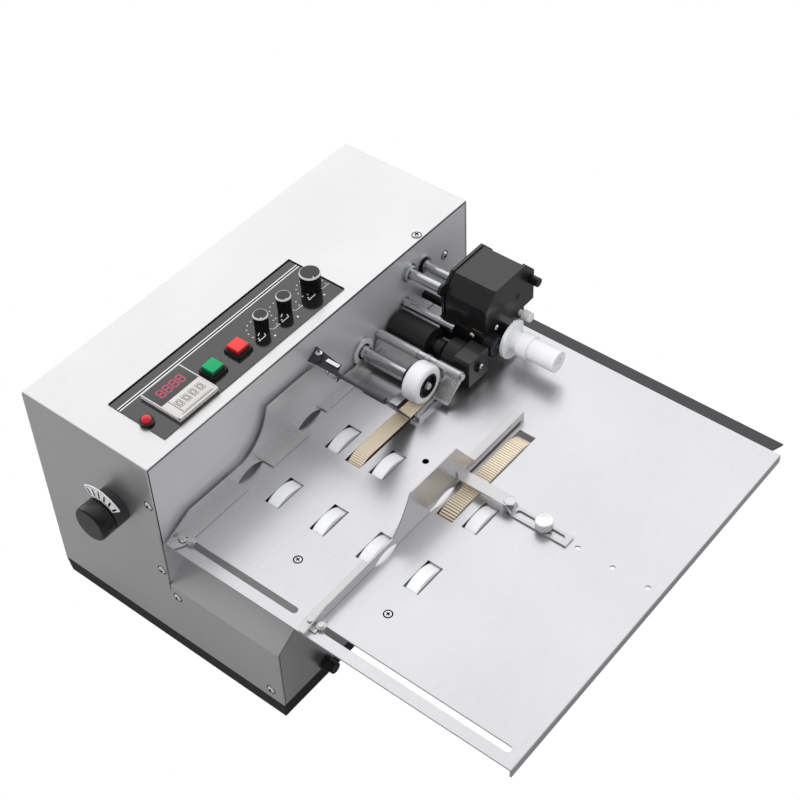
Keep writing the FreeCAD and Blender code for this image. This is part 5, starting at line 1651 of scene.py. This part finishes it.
@dataclass
class Studio:
    """Plain pale floor, soft studio light and the camera at the photograph's angle.

    The camera stands off the casing's lowest corner, so it follows the machine in its frame.
    """

    stand_off: Point = (-540.1, -608.3, 1195.9)
    right: Point = (0.62500, -0.77994, -0.03258)
    up: Point = (0.57424, 0.43109, 0.69600)
    forward: Point = (0.52879, 0.45371, -0.71730)
    lens: float = 75.17
    sensor: float = 36.0
    floor_half: float = 6.0
    floor_drop: float = 0.0004
    floor_colour: str = "#8c8c8c"
    floor_in_metal: float = 0.085
    bright_side: Point = (0.85, 0.5, 0.0)
    sky_turn: tuple[float, float] = (-0.35, 0.5)
    sky_dark: float = 0.19
    sky_bright: float = 1.29
    sky_light: float = 0.92
    lamp_place: Point = (-0.9, 1.1, 1.7)
    lamp_target: Point = (0.0, 0.0, 0.15)
    lamp_size: float = 1.1
    lamp_watts: float = 13.0

    def place_camera(self) -> None:
        """Set the scene's camera from its solved axes."""
        data = bpy.data.cameras.new("photo_camera")
        data.lens = self.lens
        data.sensor_width = self.sensor
        camera = bpy.data.objects.new("photo_camera", data)
        bpy.context.collection.objects.link(camera)
        axes = Matrix((self.right, self.up, [-v for v in self.forward])).transposed()
        eye = Box.of("casing_shell").low + Vector(self.stand_off)
        camera.matrix_world = Matrix.Translation(eye * MM) @ axes.to_4x4()
        bpy.context.scene.camera = camera

    def lay_floor(self) -> None:
        """Lay the pale floor: white to the camera, pale grey paper in the metal's reflections."""
        mesh = bpy.data.meshes.new("studio_floor")
        half = self.floor_half
        corners = [(-half, -half, 0), (half, -half, 0), (half, half, 0), (-half, half, 0)]
        mesh.from_pydata(corners, [], [(0, 1, 2, 3)])
        floor = as_object("studio_floor", mesh)
        floor.location.z = -self.floor_drop
        material = bpy.data.materials.new("studio_paper")
        tree = fresh_tree(material)
        matt = add_node(tree, "ShaderNodeBsdfDiffuse", {"Color": linear(self.floor_colour)})
        path = add_node(tree, "ShaderNodeLightPath")
        glossy = add_node(tree, "ShaderNodeMath", {0: path.outputs["Is Glossy Ray"],
                                                   1: self.floor_in_metal}, operation="MULTIPLY")
        seen = add_node(tree, "ShaderNodeMath", {0: path.outputs["Is Camera Ray"],
                                                 1: glossy.outputs[0]}, operation="MAXIMUM")
        glow = add_node(tree, "ShaderNodeEmission", {"Color": WHITE, "Strength": 1.0})
        lift = add_node(tree, "ShaderNodeMixShader", {0: seen.outputs[0], 1: matt.outputs[0],
                                                      2: glow.outputs[0]})
        add_node(tree, "ShaderNodeOutputMaterial", {"Surface": lift.outputs[0]})
        mesh.materials.append(material)

    def hang_lamp(self) -> None:
        """Hang the square soft lamp, placed in metres and unseen in the metal."""
        data = bpy.data.lights.new("key_soft_box", "AREA")
        data.shape = "SQUARE"
        data.size = self.lamp_size
        data.energy = self.lamp_watts
        lamp = bpy.data.objects.new("key_soft_box", data)
        bpy.context.collection.objects.link(lamp)
        lamp.location = self.lamp_place
        aim = Vector(self.lamp_target) - Vector(self.lamp_place)
        lamp.rotation_euler = aim.to_track_quat("-Z", "Y").to_euler()
        lamp.visible_glossy = False

    def light_world(self) -> None:
        """Pale sky, brighter past the delivery end, and white to the camera."""
        world = bpy.data.worlds.new("studio_world")
        bpy.context.scene.world = world
        tree = fresh_tree(world)
        way = add_node(tree, "ShaderNodeTexCoord")
        side = add_node(tree, "ShaderNodeVectorMath", {0: way.outputs["Generated"],
                                                       1: self.bright_side},
                        operation="DOT_PRODUCT")
        shade = add_node(tree, "ShaderNodeMapRange", {
            "Value": side.outputs["Value"], "From Min": self.sky_turn[0],
            "From Max": self.sky_turn[1], "To Min": self.sky_dark,
            "To Max": self.sky_bright})
        path = add_node(tree, "ShaderNodeLightPath")
        glossy, fill, white = [
            add_node(tree, "ShaderNodeBackground", {"Color": WHITE, "Strength": strength})
            for strength in (shade.outputs[0], self.sky_light, 1.0)]
        metal = add_node(tree, "ShaderNodeMixShader", {0: path.outputs["Is Glossy Ray"],
                                                       1: fill.outputs[0], 2: glossy.outputs[0]})
        seen = add_node(tree, "ShaderNodeMath", {0: path.outputs["Is Camera Ray"],
                                                 1: path.outputs["Is Transmission Ray"]},
                        operation="MAXIMUM")
        mixed = add_node(tree, "ShaderNodeMixShader", {0: seen.outputs[0], 1: metal.outputs[0],
                                                       2: white.outputs[0]})
        add_node(tree, "ShaderNodeOutputWorld", {"Surface": mixed.outputs[0]})

    def build(self) -> None:
        """Set up the whole studio."""
        self.place_camera()
        self.lay_floor()
        self.hang_lamp()
        self.light_world()
        bpy.context.scene.view_settings.view_transform = "Standard"


def main() -> None:
    """Build the studio and dress every sub-assembly in order."""
    logging.basicConfig(level=logging.INFO, format="%(message)s")
    Studio().build()
    dress_frame()
    trees = Trees()
    Fasteners(trees).build()
    SeamShadowStrips().build()
    FeedDrive(trees).build()
    PressWheel().build()
    StackGuides().build()
    PrintHead().build()
    ControlPanel(trees).build()
    SideControl(trees).build()
    RearFittings().build()


if __name__ == "__main__":
    main()
